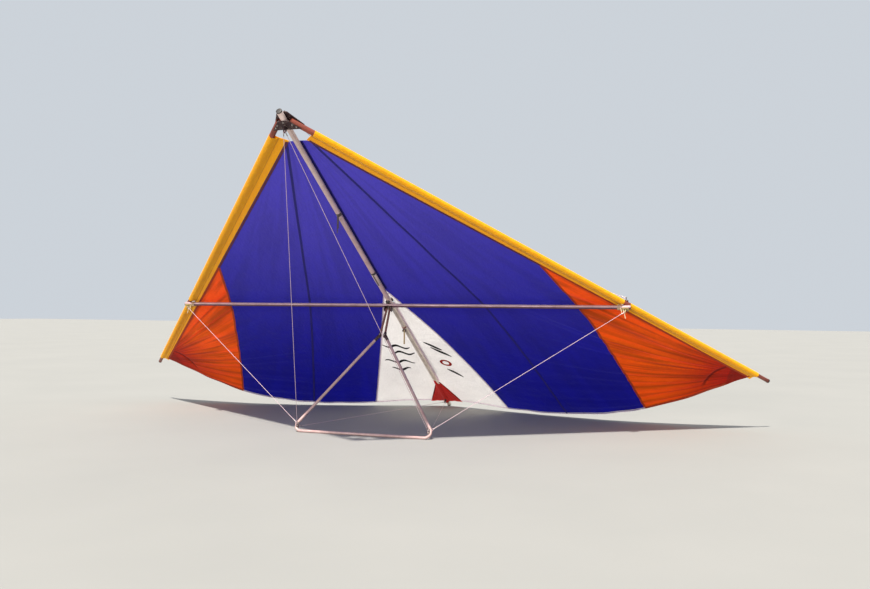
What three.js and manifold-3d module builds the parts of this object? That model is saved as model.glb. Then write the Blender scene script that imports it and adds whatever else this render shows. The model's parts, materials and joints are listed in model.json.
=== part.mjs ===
// Hang glider of the flexible two-lobed kind, parked nose up on its base bar and the tail of its keel.
// Units are millimetres. In the finished frame +X points across the span, +Y aft and +Z up.
// Everything is first laid out in the glider's own rigging frame: X across, Y aft along the keel from
// the nose, Z square to the plane of the keel and leading edges. One group then pitches it nose up.
import * as THREE from "three";
import { mergeVertices } from "three/addons/utils/BufferGeometryUtils.js";
import Module from "manifold-3d";

const wasm = await Module();
wasm.setup();

const { sin, cos, tan, hypot, atan2, PI } = Math;
const degrees = PI / 180;

// Driving dimensions
const keelLength = 5050;
const keelNoseOverhang = 45;
const mainTubeRadius = 22.5;
const leadingEdgeLength = 5500;
const leadingEdgeTailRadius = 19;
const leadingEdgeStepAt = 3790;
const noseHalfAngle = 41 * degrees;
const crossbarJunctionAlong = 3550;
const crossbarRadius = 19;
const touchGap = 0.3;

const frameDepth = 1330;
const frameHalfWidth = 674;
const frameCornerRadius = 55;
const frameAftLean = 1.2 * degrees;
const kneeDepth = 285;
const legRadius = 14;
const neckRadius = 11;

const kingpostLength = 950;
const kingpostRadius = 16;
const wireRadius = 2;

const clothThickness = 5;
const pocketWidth = 136;
const pocketTipWidth = 84;
const pocketStart = 275;
const pocketEnd = 5340;
const sailFront = 260;
const sailTailOnKeel = 4985;
const sailSag = 325;
const sailLift = 30;
const rootSeamLift = 26;

// Places that follow from them
const hubY = crossbarJunctionAlong * cos(noseHalfAngle);
const crossbarHalf = crossbarJunctionAlong * sin(noseHalfAngle);
const crossbarZ = -(mainTubeRadius + crossbarRadius + touchGap);
const underCrossbar = crossbarZ - crossbarRadius - touchGap;
const framePivotZ = underCrossbar - 31;
const kingpostPivotZ = 62;
const sides = [["right", 1], ["left", -1]];

const colours = {
  keel: [0xc9b79c, 0.45, 0.8],
  leadingEdge: [0x7a3a2c, 0.5, 0.5],
  crossbar: [0xd0a48e, 0.45, 0.7],
  darkFitting: [0x2c1a1c, 0.5, 0.6],
  paleFitting: [0xe6dcc4, 0.5, 0.3],
  leg: [0xcf9c84, 0.45, 0.7],
  neck: [0x5a3428, 0.5, 0.5],
  wire: [0xb9b4ac, 0.35, 0.9],
  cap: [0x2b2522, 0.6, 0],
  yellow: [0xe8a400, 0.8, 0],
  blue: [0x2a1fa8, 0.8, 0],
  white: [0xe6e8e8, 0.8, 0],
  orange: [0xd84a12, 0.8, 0],
  red: [0xb81812, 0.8, 0],
  webbing: [0x3a302c, 0.85, 0],
};

const rig = new THREE.Group();
const group = new THREE.Group();
group.add(rig);

function addPiece(name, geometry, colour, parent = rig) {
  const [color, roughness, metalness] = colours[colour];
  const material = new THREE.MeshStandardMaterial({ color, roughness, metalness });
  const mesh = new THREE.Mesh(geometry, material);
  mesh.name = name;
  parent.add(mesh);
}

// Solids that are cut or joined
function asSolid(geometry) {
  const bare = geometry.clone();
  bare.deleteAttribute("normal");
  bare.deleteAttribute("uv");
  const merged = mergeVertices(bare, 1e-3);
  return new wasm.Manifold(new wasm.Mesh({
    numProp: 3,
    vertProperties: Float32Array.from(merged.attributes.position.array),
    triVerts: Uint32Array.from(merged.index.array),
  }));
}

function asGeometry(solid) {
  const mesh = solid.getMesh();
  const geometry = new THREE.BufferGeometry();
  geometry.setAttribute("position", new THREE.BufferAttribute(Float32Array.from(mesh.vertProperties), 3));
  geometry.setIndex(new THREE.BufferAttribute(Uint32Array.from(mesh.triVerts), 1));
  geometry.computeVertexNormals();
  return geometry;
}

function joinAll(geometries) {
  return asGeometry(geometries.map(asSolid).reduce((whole, next) => whole.add(next)));
}

function boxBetween([x0, y0, z0], [x1, y1, z1]) {
  const box = new THREE.BoxGeometry(x1 - x0, y1 - y0, z1 - z0);
  return box.translate((x0 + x1) / 2, (y0 + y1) / 2, (z0 + z1) / 2);
}

// A bracket of folded plate: a base that lies on faceZ and ears that reach to earTipZ, above or below it.
// An ear starts 1 mm inside the base, so that the two join as one solid.
const earRoot = 1;
function earBracket({ x = 0, y, width, length, wall, faceZ, earTipZ, earLength, earWall = wall, earsAt }) {
  const away = Math.sign(earTipZ - faceZ);
  const slab = (x0, x1, halfLength, z0, z1) => boxBetween(
    [x + x0, y - halfLength, Math.min(z0, z1)], [x + x1, y + halfLength, Math.max(z0, z1)]);
  const base = slab(-width / 2, width / 2, length / 2, faceZ, faceZ + away * wall);
  const ears = earsAt.map((at) => slab(at - earWall / 2, at + earWall / 2, earLength / 2,
    faceZ + away * (wall - earRoot), earTipZ));
  return joinAll([base, ...ears]);
}

// Its two ears stand at the base's edges in a channel.
function channelBracket(sizes) {
  const earAt = (sizes.width - sizes.wall) / 2;
  return earBracket({ ...sizes, earsAt: [-earAt, earAt] });
}

// A round rod from one point to another.
function rodBetween(from, to, radius, facets = 16) {
  const span = new THREE.Vector3(...to).sub(new THREE.Vector3(...from));
  const rod = new THREE.CylinderGeometry(radius, radius, span.length(), facets);
  rod.translate(0, span.length() / 2, 0);
  const turn = new THREE.Quaternion().setFromUnitVectors(new THREE.Vector3(0, 1, 0), span.normalize());
  return rod.applyQuaternion(turn).translate(...from);
}

function tubeAlong(curve, radius, steps, facets = 12) {
  const section = new THREE.Shape().absarc(0, 0, radius, 0, 2 * PI);
  return new THREE.ExtrudeGeometry(section, { extrudePath: curve, steps, curveSegments: facets });
}

// Point on a leading edge's axis: along it from the nose, in from it towards the keel, and up.
function leadingEdgePoint(side, along, inward = 0, up = 0) {
  const x = along * sin(noseHalfAngle) - inward * cos(noseHalfAngle);
  const y = along * cos(noseHalfAngle) + inward * sin(noseHalfAngle);
  return [side * x, y, up];
}

// Point on the control frame: across, down from its pivot in its own leaning plane, and forward of it.
function framePoint(across, depth, forward = 0) {
  const y = hubY + depth * sin(frameAftLean) - forward * cos(frameAftLean);
  const z = framePivotZ - depth * cos(frameAftLean) - forward * sin(frameAftLean);
  return [across, y, z];
}

// Keel, a straight tube from just ahead of the nose plates to the tail.
addPiece("keel_tube", rodBetween([0, -keelNoseOverhang, 0], [0, keelLength, 0], mainTubeRadius), "keel");
const capReach = 12;
const capProud = 1.5;
addPiece("keel_cap_front", rodBetween([0, -keelNoseOverhang - capReach, 0],
  [0, -keelNoseOverhang - touchGap, 0], mainTubeRadius + capProud), "cap");
addPiece("keel_cap_tail", rodBetween([0, keelLength + touchGap, 0],
  [0, keelLength + capReach, 0], mainTubeRadius + capProud), "cap");

// Leading edges, each a thick front tube with a thinner one sleeved into it past the crossbar.
const leadingEdgeStart = 75;
const sleeveTaper = 3;
for (const [name, side] of sides) {
  const profile = [
    [0, leadingEdgeStart], [mainTubeRadius, leadingEdgeStart], [mainTubeRadius, leadingEdgeStepAt],
    [leadingEdgeTailRadius, leadingEdgeStepAt + sleeveTaper],
    [leadingEdgeTailRadius, leadingEdgeLength], [0, leadingEdgeLength],
  ];
  const tube = new THREE.LatheGeometry(profile.map(([r, along]) => new THREE.Vector2(r, along)), 16);
  addPiece(`leading_edge_tube_${name}`, tube.rotateZ(-side * noseHalfAngle), "leadingEdge");
  addPiece(`leading_edge_cap_${name}`, rodBetween(leadingEdgePoint(side, leadingEdgeLength + touchGap),
    leadingEdgePoint(side, leadingEdgeLength + capReach), leadingEdgeTailRadius + capProud), "cap");
}

// Nose plates above and below the three tubes.
const plateThickness = 4;
const plateFrontHalf = 42;
const plateMargin = 14;
function nosePlate(front, back, low) {
  const backHalf = back * tan(noseHalfAngle) + plateMargin;
  const outline = new THREE.Shape([
    new THREE.Vector2(-plateFrontHalf, front), new THREE.Vector2(plateFrontHalf, front),
    new THREE.Vector2(backHalf, back), new THREE.Vector2(-backHalf, back),
  ]);
  const plate = new THREE.ExtrudeGeometry(outline, { depth: plateThickness, bevelEnabled: false });
  return plate.translate(0, 0, low);
}
const plateGap = mainTubeRadius + touchGap;
addPiece("nose_plate_upper", nosePlate(-20, 135, plateGap), "darkFitting");
addPiece("nose_plate_lower", nosePlate(28, 125, -plateGap - plateThickness), "darkFitting");

// Tangs, upright plates 6 mm thick on the keel that the wires hook into. The table gives where each
// starts and ends along the keel, and its lowest and highest edge.
const tangHalf = 3;
const tailTangY = 4890;
const onNosePlate = plateGap + plateThickness + touchGap;
const tangs = {
  nose_tang: { front: 70, back: 118, low: -onNosePlate - 55, high: -onNosePlate },
  nose_tang_upper: { front: 4, back: 44, low: onNosePlate, high: onNosePlate + 40 },
  tail_tang: { front: tailTangY - 24, back: tailTangY + 24, low: -plateGap - 42, high: -plateGap },
  tail_tang_upper: { front: tailTangY - 20, back: tailTangY + 20, low: plateGap, high: plateGap + 34 },
};
for (const [name, { front, back, low, high }] of Object.entries(tangs)) {
  addPiece(name, boxBetween([-tangHalf, front, low], [tangHalf, back, high]), "darkFitting");
}

// Crossbar, one straight tube under the keel and the leading edges.
const crossbarEnd = crossbarHalf + 45;
addPiece("crossbar_tube", rodBetween([-crossbarEnd, hubY, crossbarZ], [crossbarEnd, hubY, crossbarZ],
  crossbarRadius), "crossbar");
for (const [name, side] of sides) {
  const place = { x: side * crossbarHalf, y: hubY, wall: 5, earWall: 2 * tangHalf, earsAt: [0] };
  addPiece(`crossbar_end_bracket_${name}`, earBracket({
    ...place, width: 64, length: 56, faceZ: underCrossbar, earLength: 28, earTipZ: framePivotZ - 12,
  }), "paleFitting");
  addPiece(`upper_wire_tang_${name}`, earBracket({
    ...place, width: 40, length: 40, faceZ: plateGap, earLength: 24, earTipZ: kingpostPivotZ + 6,
  }), "darkFitting");
}

// Hub bracket, a channel with its ears down, which carries the control frame's pivot bolt.
addPiece("hub_bracket", channelBracket({
  y: hubY, width: 72, length: 60, wall: 5, faceZ: underCrossbar, earLength: 44, earTipZ: framePivotZ - 18,
}), "darkFitting");

// Control frame
const kneeAcross = 25;
const cornerCentre = { across: frameHalfWidth - frameCornerRadius, depth: frameDepth - frameCornerRadius };
const kneeToCentre = { across: cornerCentre.across - kneeAcross, depth: cornerCentre.depth - kneeDepth };
const kneeToCentreLength = hypot(kneeToCentre.across, kneeToCentre.depth);
const legAngle = atan2(kneeToCentre.across, kneeToCentre.depth)
  + Math.asin(frameCornerRadius / kneeToCentreLength);
const legEnd = {
  across: cornerCentre.across + frameCornerRadius * cos(legAngle),
  depth: cornerCentre.depth - frameCornerRadius * sin(legAngle),
};
const fittingLength = 56;
const legBelowFitting = 9.5;
const neckAbovePivot = 12;
const neckTopAcross = 16;
const neckSpread = (kneeAcross - neckTopAcross) / kneeDepth;
function alongLeg(side, distance) {
  return framePoint(side * (kneeAcross + distance * sin(legAngle)), kneeDepth + distance * cos(legAngle));
}
for (const [name, side] of sides) {
  const alongNeck = (depth) => framePoint(side * (neckTopAcross + depth * neckSpread), depth);
  const fittingTop = kneeDepth - fittingLength / 2;
  addPiece(`control_frame_neck_${name}`, rodBetween(alongNeck(-neckAbovePivot), alongNeck(fittingTop),
    neckRadius, 12), "neck");
  addPiece(`knee_fitting_${name}`, rodBetween(alongNeck(fittingTop + touchGap),
    alongNeck(fittingTop + fittingLength), legRadius + capProud, 12), "darkFitting");
  const legStart = alongLeg(side, fittingLength / 2 / cos(legAngle) + legBelowFitting);
  addPiece(`control_frame_leg_${name}`, rodBetween(legStart,
    framePoint(side * legEnd.across, legEnd.depth), legRadius, 12), "leg");
}

// Base bar, with both ends bent up to meet the legs.
class BaseBarCurve extends THREE.Curve {
  getPoint(t, target = new THREE.Vector3()) {
    const bend = PI / 2 + legAngle;
    const arc = frameCornerRadius * bend;
    const straight = 2 * cornerCentre.across;
    const along = (t - 0.5) * (2 * arc + straight);
    const turned = Math.max(0, Math.abs(along) - straight / 2) / frameCornerRadius;
    const across = Math.min(Math.abs(along), cornerCentre.across) + frameCornerRadius * sin(turned);
    const depth = cornerCentre.depth + frameCornerRadius * cos(turned);
    return target.set(...framePoint(Math.sign(along) * across, depth));
  }
}
const barHalfLength = frameCornerRadius * (PI / 2 + legAngle) + cornerCentre.across;
const barGap = touchGap / (2 * barHalfLength);
class TrimmedCurve extends THREE.Curve {
  constructor(curve, low, high) {
    super();
    Object.assign(this, { curve, low, high });
  }
  getPoint(t, target) {
    return this.curve.getPoint(this.low + t * (this.high - this.low), target);
  }
}
const barSteps = 80;
addPiece("control_frame_base_bar", tubeAlong(new TrimmedCurve(new BaseBarCurve(), barGap, 1 - barGap),
  legRadius, barSteps), "leg");

// Corner tangs, plates on the front of the bends that the lower wires hook into.
const cornerAcross = legEnd.across - 8;
const cornerDepth = legEnd.depth + 30;
const cornerTang = { across: 14, up: 22, thick: 5 };
for (const [name, side] of sides) {
  const [x, y, z] = framePoint(side * cornerAcross, cornerDepth, legRadius + 1);
  const { across, up, thick } = cornerTang;
  addPiece(`corner_tang_${name}`, boxBetween([x - across, y - thick, z - up], [x + across, y, z + up]),
    "darkFitting");
}

// Kingpost above the hub, in a channel bracket.
addPiece("kingpost_bracket", channelBracket({
  y: hubY, width: 48, length: 48, wall: 5, faceZ: plateGap, earLength: 48, earTipZ: kingpostPivotZ + 16,
}), "darkFitting");
const kingpostTop = kingpostPivotZ + kingpostLength;
const kingpostHeel = kingpostPivotZ - 16;
addPiece("kingpost_tube", rodBetween([0, hubY, kingpostHeel], [0, hubY, kingpostTop],
  kingpostRadius, 12), "keel");
addPiece("kingpost_cap", rodBetween([0, hubY, kingpostTop + touchGap], [0, hubY, kingpostTop + 26],
  kingpostRadius + 4, 12), "cap");

// Wires, which end just beside the tangs that hold them.
const besideTang = 6.5;
const besideTube = 4;
const wireTopZ = kingpostTop - 12;
function addWire(name, from, to) {
  addPiece(name, rodBetween(from, to, wireRadius, 6), "wire");
}
for (const [name, side] of sides) {
  addWire(`lower_front_wire_${name}`, [side * besideTang, 92, tangs.nose_tang.low + 11],
    framePoint(side * cornerAcross, cornerDepth, legRadius + 10));
  addWire(`lower_rear_wire_${name}`, [side * besideTang, tailTangY, tangs.tail_tang.low + 12],
    framePoint(side * cornerAcross, cornerDepth + 4, -legRadius - besideTube));
  addWire(`lower_side_wire_${name}`, [side * (crossbarHalf - besideTang), hubY, framePivotZ],
    framePoint(side * (legEnd.across + 22), legEnd.depth));
  addWire(`upper_side_wire_${name}`, [side * (crossbarHalf - besideTang), hubY, kingpostPivotZ],
    [side * (kingpostRadius + 2 * besideTube), hubY, wireTopZ]);
}
addWire("upper_nose_wire", [0, tangs.nose_tang_upper.back + besideTube, onNosePlate + 29.7],
  [0, hubY - kingpostRadius - besideTube - 1, wireTopZ]);
addWire("upper_tail_wire", [0, tangs.tail_tang_upper.front - besideTube, plateGap + 26],
  [0, hubY + kingpostRadius + besideTube + 1, wireTopZ]);

// Sail. It lies over the crossbar and hangs below the plane of the tubes behind it.
const tipPoint = leadingEdgePoint(1, pocketEnd);
function trailingEdgeY(u) {
  const slope = (tipPoint[1] - sailTailOnKeel) / tipPoint[0];
  return sailTailOnKeel / (1 - slope * u * tan(noseHalfAngle));
}
function sailHeight(u, y) {
  const ahead = Math.min(1, y / hubY);
  const behind = Math.max(0, (y - hubY) / (trailingEdgeY(u) - hubY));
  const belly = (4 * u * (1 - u)) ** 1.42;
  return rootSeamLift * (1 - u) + (sailLift * ahead * (1 - behind) - sailSag * behind ** 1.45) * belly;
}
const acrossSteps = 18;
const alongSteps = { front: 4, back: 9 };
const acrossStations = Array.from({ length: acrossSteps + 1 }, (_, i) => i / acrossSteps);
const alongStations = [
  ...Array.from({ length: alongSteps.front }, (_, i) => i / alongSteps.front),
  ...Array.from({ length: alongSteps.back + 1 }, (_, i) => 1 + i / alongSteps.back),
];
// v runs from 0 at the front of the sail to 1 over the crossbar and 2 at the trailing edge.
function sheetPoint(u, v) {
  const y = v < 1 ? sailFront + v * (hubY - sailFront) : hubY + (v - 1) * (trailingEdgeY(u) - hubY);
  return [u * y * tan(noseHalfAngle), y, sailHeight(u, y)];
}
function sailSheet() {
  const columns = acrossStations.length;
  const rows = alongStations.length;
  const positions = [];
  for (const offset of [-clothThickness / 2, clothThickness / 2]) {
    for (const v of alongStations) {
      for (const u of acrossStations) {
        const [x, y, z] = sheetPoint(u, v);
        positions.push(x, y, z + offset);
      }
    }
  }
  const index = [];
  const top = rows * columns;
  const at = (row, column) => row * columns + column;
  for (let row = 0; row < rows - 1; row += 1) {
    for (let column = 0; column < columns - 1; column += 1) {
      const [a, b] = [at(row, column), at(row, column + 1)];
      const [c, d] = [at(row + 1, column + 1), at(row + 1, column)];
      index.push(a, c, b, a, d, c);
      index.push(top + a, top + b, top + c, top + a, top + c, top + d);
    }
  }
  const rim = [];
  for (let column = 0; column < columns; column += 1) rim.push(at(0, column));
  for (let row = 1; row < rows; row += 1) rim.push(at(row, columns - 1));
  for (let column = columns - 2; column >= 0; column -= 1) rim.push(at(rows - 1, column));
  for (let row = rows - 2; row > 0; row -= 1) rim.push(at(row, 0));
  rim.forEach((here, i) => {
    const next = rim[(i + 1) % rim.length];
    index.push(here, next, top + next, here, top + next, top + here);
  });
  const geometry = new THREE.BufferGeometry();
  geometry.setAttribute("position", new THREE.BufferAttribute(new Float32Array(positions), 3));
  geometry.setIndex(index);
  return geometry;
}

// Panels are cut from the sheet by upright prisms, whose outlines are points [across, aft].
function prism(outline, low = -900, high = 300) {
  const shape = new THREE.Shape(outline.map(([x, y]) => new THREE.Vector2(x, y)));
  return new THREE.ExtrudeGeometry(shape, { depth: high - low, bevelEnabled: false }).translate(0, 0, low);
}
const seamGap = 0.5;
const apexGap = 6;
const before = 130;
const beyond = 5400;
const midSeamSlope = tan(18.7 * degrees);
const rootPanel = { apex: 2480, across: 810, aft: 4720 };
const rootSlope = rootPanel.across / (rootPanel.aft - rootPanel.apex);
const tailPatch = { apex: 4470, across: 200, aft: 4980 };
const patchSlope = tailPatch.across / (tailPatch.aft - tailPatch.apex);
const tipSeam = { top: [1634, 2045], foot: [2411, 4340] };
const tipSlope = (tipSeam.foot[0] - tipSeam.top[0]) / (tipSeam.foot[1] - tipSeam.top[1]);
const tipLineX = (y) => tipSeam.top[0] + tipSlope * (y - tipSeam.top[1]);
function insidePocket(inset) {
  const line = (along) => {
    const width = pocketWidth + (pocketTipWidth - pocketWidth) * along / pocketEnd;
    return leadingEdgePoint(1, along, width + inset).slice(0, 2);
  };
  return prism([[-200, 0], line(0), line(5700), [-200, 5700]]);
}
const beyondTip = 4000;
const rootX = rootSlope * (beyond - rootPanel.apex);
const patchX = patchSlope * (beyond - tailPatch.apex);
const panels = {
  blue_inner: ["blue", [
    [seamGap, before], [midSeamSlope * before - seamGap, before], [midSeamSlope * beyond - seamGap, beyond],
    [rootX + seamGap, beyond], [seamGap, rootPanel.apex],
  ]],
  blue_outer: ["blue", [
    [midSeamSlope * before + seamGap, before], [tipLineX(before) - seamGap, before],
    [tipLineX(beyond) - seamGap, beyond], [midSeamSlope * beyond + seamGap, beyond],
  ]],
  orange_tip: ["orange", [
    [tipLineX(before) + seamGap, before], [beyondTip, before], [beyondTip, beyond],
    [tipLineX(beyond) + seamGap, beyond],
  ]],
  white_root: ["white", [
    [seamGap, rootPanel.apex + apexGap], [rootX - seamGap, beyond],
    [patchX + seamGap, beyond], [seamGap, tailPatch.apex],
  ]],
  red_tail: ["red", [
    [seamGap, tailPatch.apex + apexGap], [patchX - seamGap, beyond], [seamGap, beyond],
  ]],
};
const openingHeight = 100;
function sailOpening(halfAcross, y, halfAlong) {
  return boxBetween([-halfAcross, y - halfAlong, -openingHeight], [halfAcross, y + halfAlong, openingHeight]);
}
const mirror = new THREE.Matrix4().makeScale(-1, 1, 1);
function mirrored(geometry) {
  const flipped = geometry.clone().applyMatrix4(mirror);
  const index = flipped.index.array;
  for (let i = 0; i < index.length; i += 3) [index[i], index[i + 1]] = [index[i + 1], index[i]];
  flipped.computeVertexNormals();
  return flipped;
}
const openings = asSolid(sailOpening(34, hubY, 34)).add(asSolid(sailOpening(5, tailTangY, 24)));
const sheet = asSolid(sailSheet()).intersect(asSolid(insidePocket(seamGap))).subtract(openings);
for (const [panel, [colour, outline]] of Object.entries(panels)) {
  const right = asGeometry(sheet.intersect(asSolid(prism(outline))));
  addPiece(`sail_${panel}_right`, right, colour);
  addPiece(`sail_${panel}_left`, mirrored(right), colour);
}

// Leading edge pockets: a sleeve round the tube that runs into a flat strip of doubled cloth.
const sleeveWall = 2.3;
const sleeveSlack = 0.5;
const stripStart = 54;
function pocketSection() {
  const spread = 30 * degrees;
  const half = clothThickness / 2;
  const section = new THREE.Shape();
  section.moveTo(pocketWidth, -half);
  section.lineTo(pocketWidth, half);
  section.lineTo(stripStart, half);
  section.absarc(0, 0, mainTubeRadius + sleeveWall, spread, 2 * PI - spread, false);
  section.lineTo(stripStart, -half);
  section.closePath();
  const bore = new THREE.Path().absarc(0, 0, mainTubeRadius + sleeveSlack, 0, 2 * PI, true);
  section.holes.push(bore);
  return section;
}
function pocketSleeve() {
  const blank = new THREE.ExtrudeGeometry(pocketSection(), {
    depth: pocketEnd - pocketStart, bevelEnabled: false, curveSegments: 10, steps: 1,
  });
  // Section X is inward, section Y is up and the run is aft along the leading edge.
  const inward = new THREE.Vector3(-cos(noseHalfAngle), sin(noseHalfAngle), 0);
  const up = new THREE.Vector3(0, 0, 1);
  const aft = new THREE.Vector3(sin(noseHalfAngle), cos(noseHalfAngle), 0);
  const place = new THREE.Matrix4().makeBasis(inward, up, aft);
  place.setPosition(...leadingEdgePoint(1, pocketStart));
  return blank.applyMatrix4(place);
}
const junctionCut = boxBetween([-36, -85, -60], [36, 85, 60]);
junctionCut.rotateZ(-noseHalfAngle).translate(...leadingEdgePoint(1, crossbarJunctionAlong));
const pocket = asGeometry(asSolid(pocketSleeve()).subtract(asSolid(junctionCut))
  .subtract(asSolid(insidePocket(-seamGap))));
addPiece("sail_pocket_right", pocket, "yellow");
addPiece("sail_pocket_left", mirrored(pocket), "yellow");

// Bands that tie the sail to the keel, and the bracket that the harness hangs from.
const bandWall = 2;
const bandShort = 0.15;
function band(y, width) {
  const [from, to] = [PI + bandShort, 2 * PI - bandShort];
  const outer = new THREE.Shape().absarc(0, 0, mainTubeRadius + touchGap + bandWall, from, to, false);
  outer.absarc(0, 0, mainTubeRadius + touchGap, to, from, true);
  const ring = new THREE.ExtrudeGeometry(outer, { depth: width, bevelEnabled: false, curveSegments: 10 });
  return ring.rotateX(PI / 2).translate(0, y + width, 0);
}
[["front", 1200, 34], ["middle", 2165, 160]].forEach(([name, y, width]) => {
  addPiece(`keel_band_${name}`, band(y, width), "webbing");
});

const hangPivotY = 3200;
const hangPivotZ = -plateGap - 14;
addPiece("hang_bracket", channelBracket({
  y: hangPivotY, width: 34, length: 28, wall: 4, faceZ: -plateGap, earLength: 24, earTipZ: hangPivotZ - 9,
}), "darkFitting");

// The parked pitch, which sets the round base bar and the rim of the tail's cap on level ground.
const [, barY, barZ] = framePoint(0, frameDepth);
const tailRise = barZ + mainTubeRadius + capProud;
const tailRun = keelLength + capReach - barY;
const pitch = Math.asin(legRadius / hypot(tailRun, tailRise)) - atan2(tailRise, tailRun);

// The harness loop hangs plumb from its bracket under the keel.
const hangLoop = { drop: 130, outer: 9, inner: 6.5, width: 20 };
const loopGroup = new THREE.Group();
loopGroup.position.set(0, hangPivotY, hangPivotZ);
loopGroup.rotation.x = pitch;
const loopShape = new THREE.Shape();
loopShape.absarc(0, 0, hangLoop.outer, 0, PI, false);
loopShape.absarc(0, -hangLoop.drop, hangLoop.outer, PI, 2 * PI, false);
const loopHole = new THREE.Path();
loopHole.absarc(0, 0, hangLoop.inner, PI, 0, true);
loopHole.absarc(0, -hangLoop.drop, hangLoop.inner, 2 * PI, PI, true);
loopShape.holes.push(loopHole);
const loopBand = new THREE.ExtrudeGeometry(loopShape, {
  depth: hangLoop.width, bevelEnabled: false, curveSegments: 8,
});
loopBand.translate(0, 0, -hangLoop.width / 2).rotateY(PI / 2).rotateX(PI / 2);
addPiece("hang_loop", loopBand, "webbing", loopGroup);
rig.add(loopGroup);

rig.rotation.x = -pitch;
group.updateMatrixWorld(true);
const bounds = new THREE.Box3().setFromObject(group, true);
const centre = bounds.getCenter(new THREE.Vector3());
group.position.set(0, -centre.y, -bounds.min.z);
group.updateMatrixWorld(true);

export default group;
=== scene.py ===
import json
import math

import bmesh
import bpy
from mathutils import Matrix, Vector, noise


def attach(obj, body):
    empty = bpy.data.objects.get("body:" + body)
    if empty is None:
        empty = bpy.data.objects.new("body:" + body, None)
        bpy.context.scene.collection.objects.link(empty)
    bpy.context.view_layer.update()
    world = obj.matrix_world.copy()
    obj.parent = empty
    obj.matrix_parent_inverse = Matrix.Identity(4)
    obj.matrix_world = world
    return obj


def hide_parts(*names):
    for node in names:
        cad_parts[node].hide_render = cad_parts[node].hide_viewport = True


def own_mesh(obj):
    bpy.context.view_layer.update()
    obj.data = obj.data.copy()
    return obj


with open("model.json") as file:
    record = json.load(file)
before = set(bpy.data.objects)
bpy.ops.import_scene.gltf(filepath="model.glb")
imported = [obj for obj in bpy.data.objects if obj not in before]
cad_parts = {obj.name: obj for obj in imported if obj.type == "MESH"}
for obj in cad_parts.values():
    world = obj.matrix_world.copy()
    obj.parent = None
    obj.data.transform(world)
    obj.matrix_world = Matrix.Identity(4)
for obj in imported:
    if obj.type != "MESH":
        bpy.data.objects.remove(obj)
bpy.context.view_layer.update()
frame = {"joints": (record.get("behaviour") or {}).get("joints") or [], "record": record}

# %% [markdown]
# The imported frame is kept as it comes: its solids say where every part of the glider is.

# %% [markdown]
# A hang glider is rigged flat and then parked with its nose in the air, so hardly any tube lies
# along X, Y or Z. Everything here is modelled in the glider's own rigging frame instead: X across
# the wing, Y aft along the keel from the nose, Z square to the plane of the tubes. One matrix,
# found from a pivot and a flat face that the frame states, carries each finished mesh into place.

# %% Driving sizes in metres, and the rigging frame
NOSE_HALF_ANGLE = math.radians(41)
KEEL_LENGTH = 5.05
NOSE_OVERHANG = 0.045
MAIN_RADIUS = 0.0225
LEADING_LENGTH = 5.5
LEADING_START = 0.075
LEADING_STEP = 3.79
LEADING_TAIL_RADIUS = 0.019
JUNCTION_ALONG = 3.55
CROSSBAR_RADIUS = 0.019
TOUCH = 0.0003
HUB_Y = JUNCTION_ALONG * math.cos(NOSE_HALF_ANGLE)
CROSSBAR_HALF = JUNCTION_ALONG * math.sin(NOSE_HALF_ANGLE)
CROSSBAR_Z = -(MAIN_RADIUS + CROSSBAR_RADIUS + TOUCH)
UNDER_CROSSBAR = CROSSBAR_Z - CROSSBAR_RADIUS - TOUCH
PIVOT_DROP = 0.031
FRAME_PIVOT_Z = UNDER_CROSSBAR - PIVOT_DROP
KINGPOST_PIVOT_Z = 0.062
SIDES = (("right", 1), ("left", -1))

joints = {joint["name"]: joint for joint in frame["joints"]}
mounts = {mount["name"]: mount for mount in frame["record"]["mounts"]}
up = Vector(mounts["kingpost_cap_top"]["axis"]).normalized()
across = Vector((1, 0, 0))
aft = up.cross(across)
nose = Vector(joints["kingpost_fold"]["pos_m"]) - HUB_Y * aft - KINGPOST_PIVOT_Z * up
RIG = Matrix.Translation(nose) @ Matrix((across, aft, up)).transposed().to_4x4()
print("nose at", tuple(round(n, 3) for n in nose), "pitched", round(math.degrees(math.asin(-aft.z)), 2))

# %% [markdown]
# The camera stands where the photograph was taken from. Its place, bearing, pitch, roll and focal
# length came from fitting the ends of the tubes to their places in the picture. It is made before
# anything else, as the first thing that a studio sets up.

# %% Camera
PHOTO_WIDTH = 870
FOCAL_PIXELS = 869.3
SENSOR_WIDTH = 36.0
CAMERA_PLACE = Vector((3.172, -8.0, 1.164))
CAMERA_BEARING = math.radians(18.297)
CAMERA_PITCH = math.radians(1.064)
CAMERA_ROLL = math.radians(0.58)

lens = bpy.data.cameras.new("camera")
lens.sensor_width = SENSOR_WIDTH
lens.lens = FOCAL_PIXELS / PHOTO_WIDTH * SENSOR_WIDTH
camera = bpy.data.objects.new("camera", lens)
bpy.context.scene.collection.objects.link(camera)
forward = Vector((
    -math.sin(CAMERA_BEARING) * math.cos(CAMERA_PITCH),
    math.cos(CAMERA_BEARING) * math.cos(CAMERA_PITCH),
    math.sin(CAMERA_PITCH),
))
level_right = Vector((math.cos(CAMERA_BEARING), math.sin(CAMERA_BEARING), 0))
level_up = level_right.cross(forward)
camera_right = level_right * math.cos(CAMERA_ROLL) + level_up * math.sin(CAMERA_ROLL)
camera_up = camera_right.cross(forward)
turned = Matrix((camera_right, camera_up, -forward)).transposed().to_4x4()
camera.matrix_world = Matrix.Translation(CAMERA_PLACE) @ turned
bpy.context.scene.camera = camera
print("lens", round(lens.lens, 2), "mm")

# %% [markdown]
# The sun strikes the top of the wing at a slant, so the cloth glows from below and every fold in it
# shows. It shines along the keel, so the kingpost's shadow on the sail falls behind the tube. A wide
# soft light in front lifts the faces that look at the camera. The colours are shown as plain sRGB,
# because a filmic curve would wash out the strong blue and yellow.

# %% Light, world and floor
FLOOR_HALF = 60.0


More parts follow.
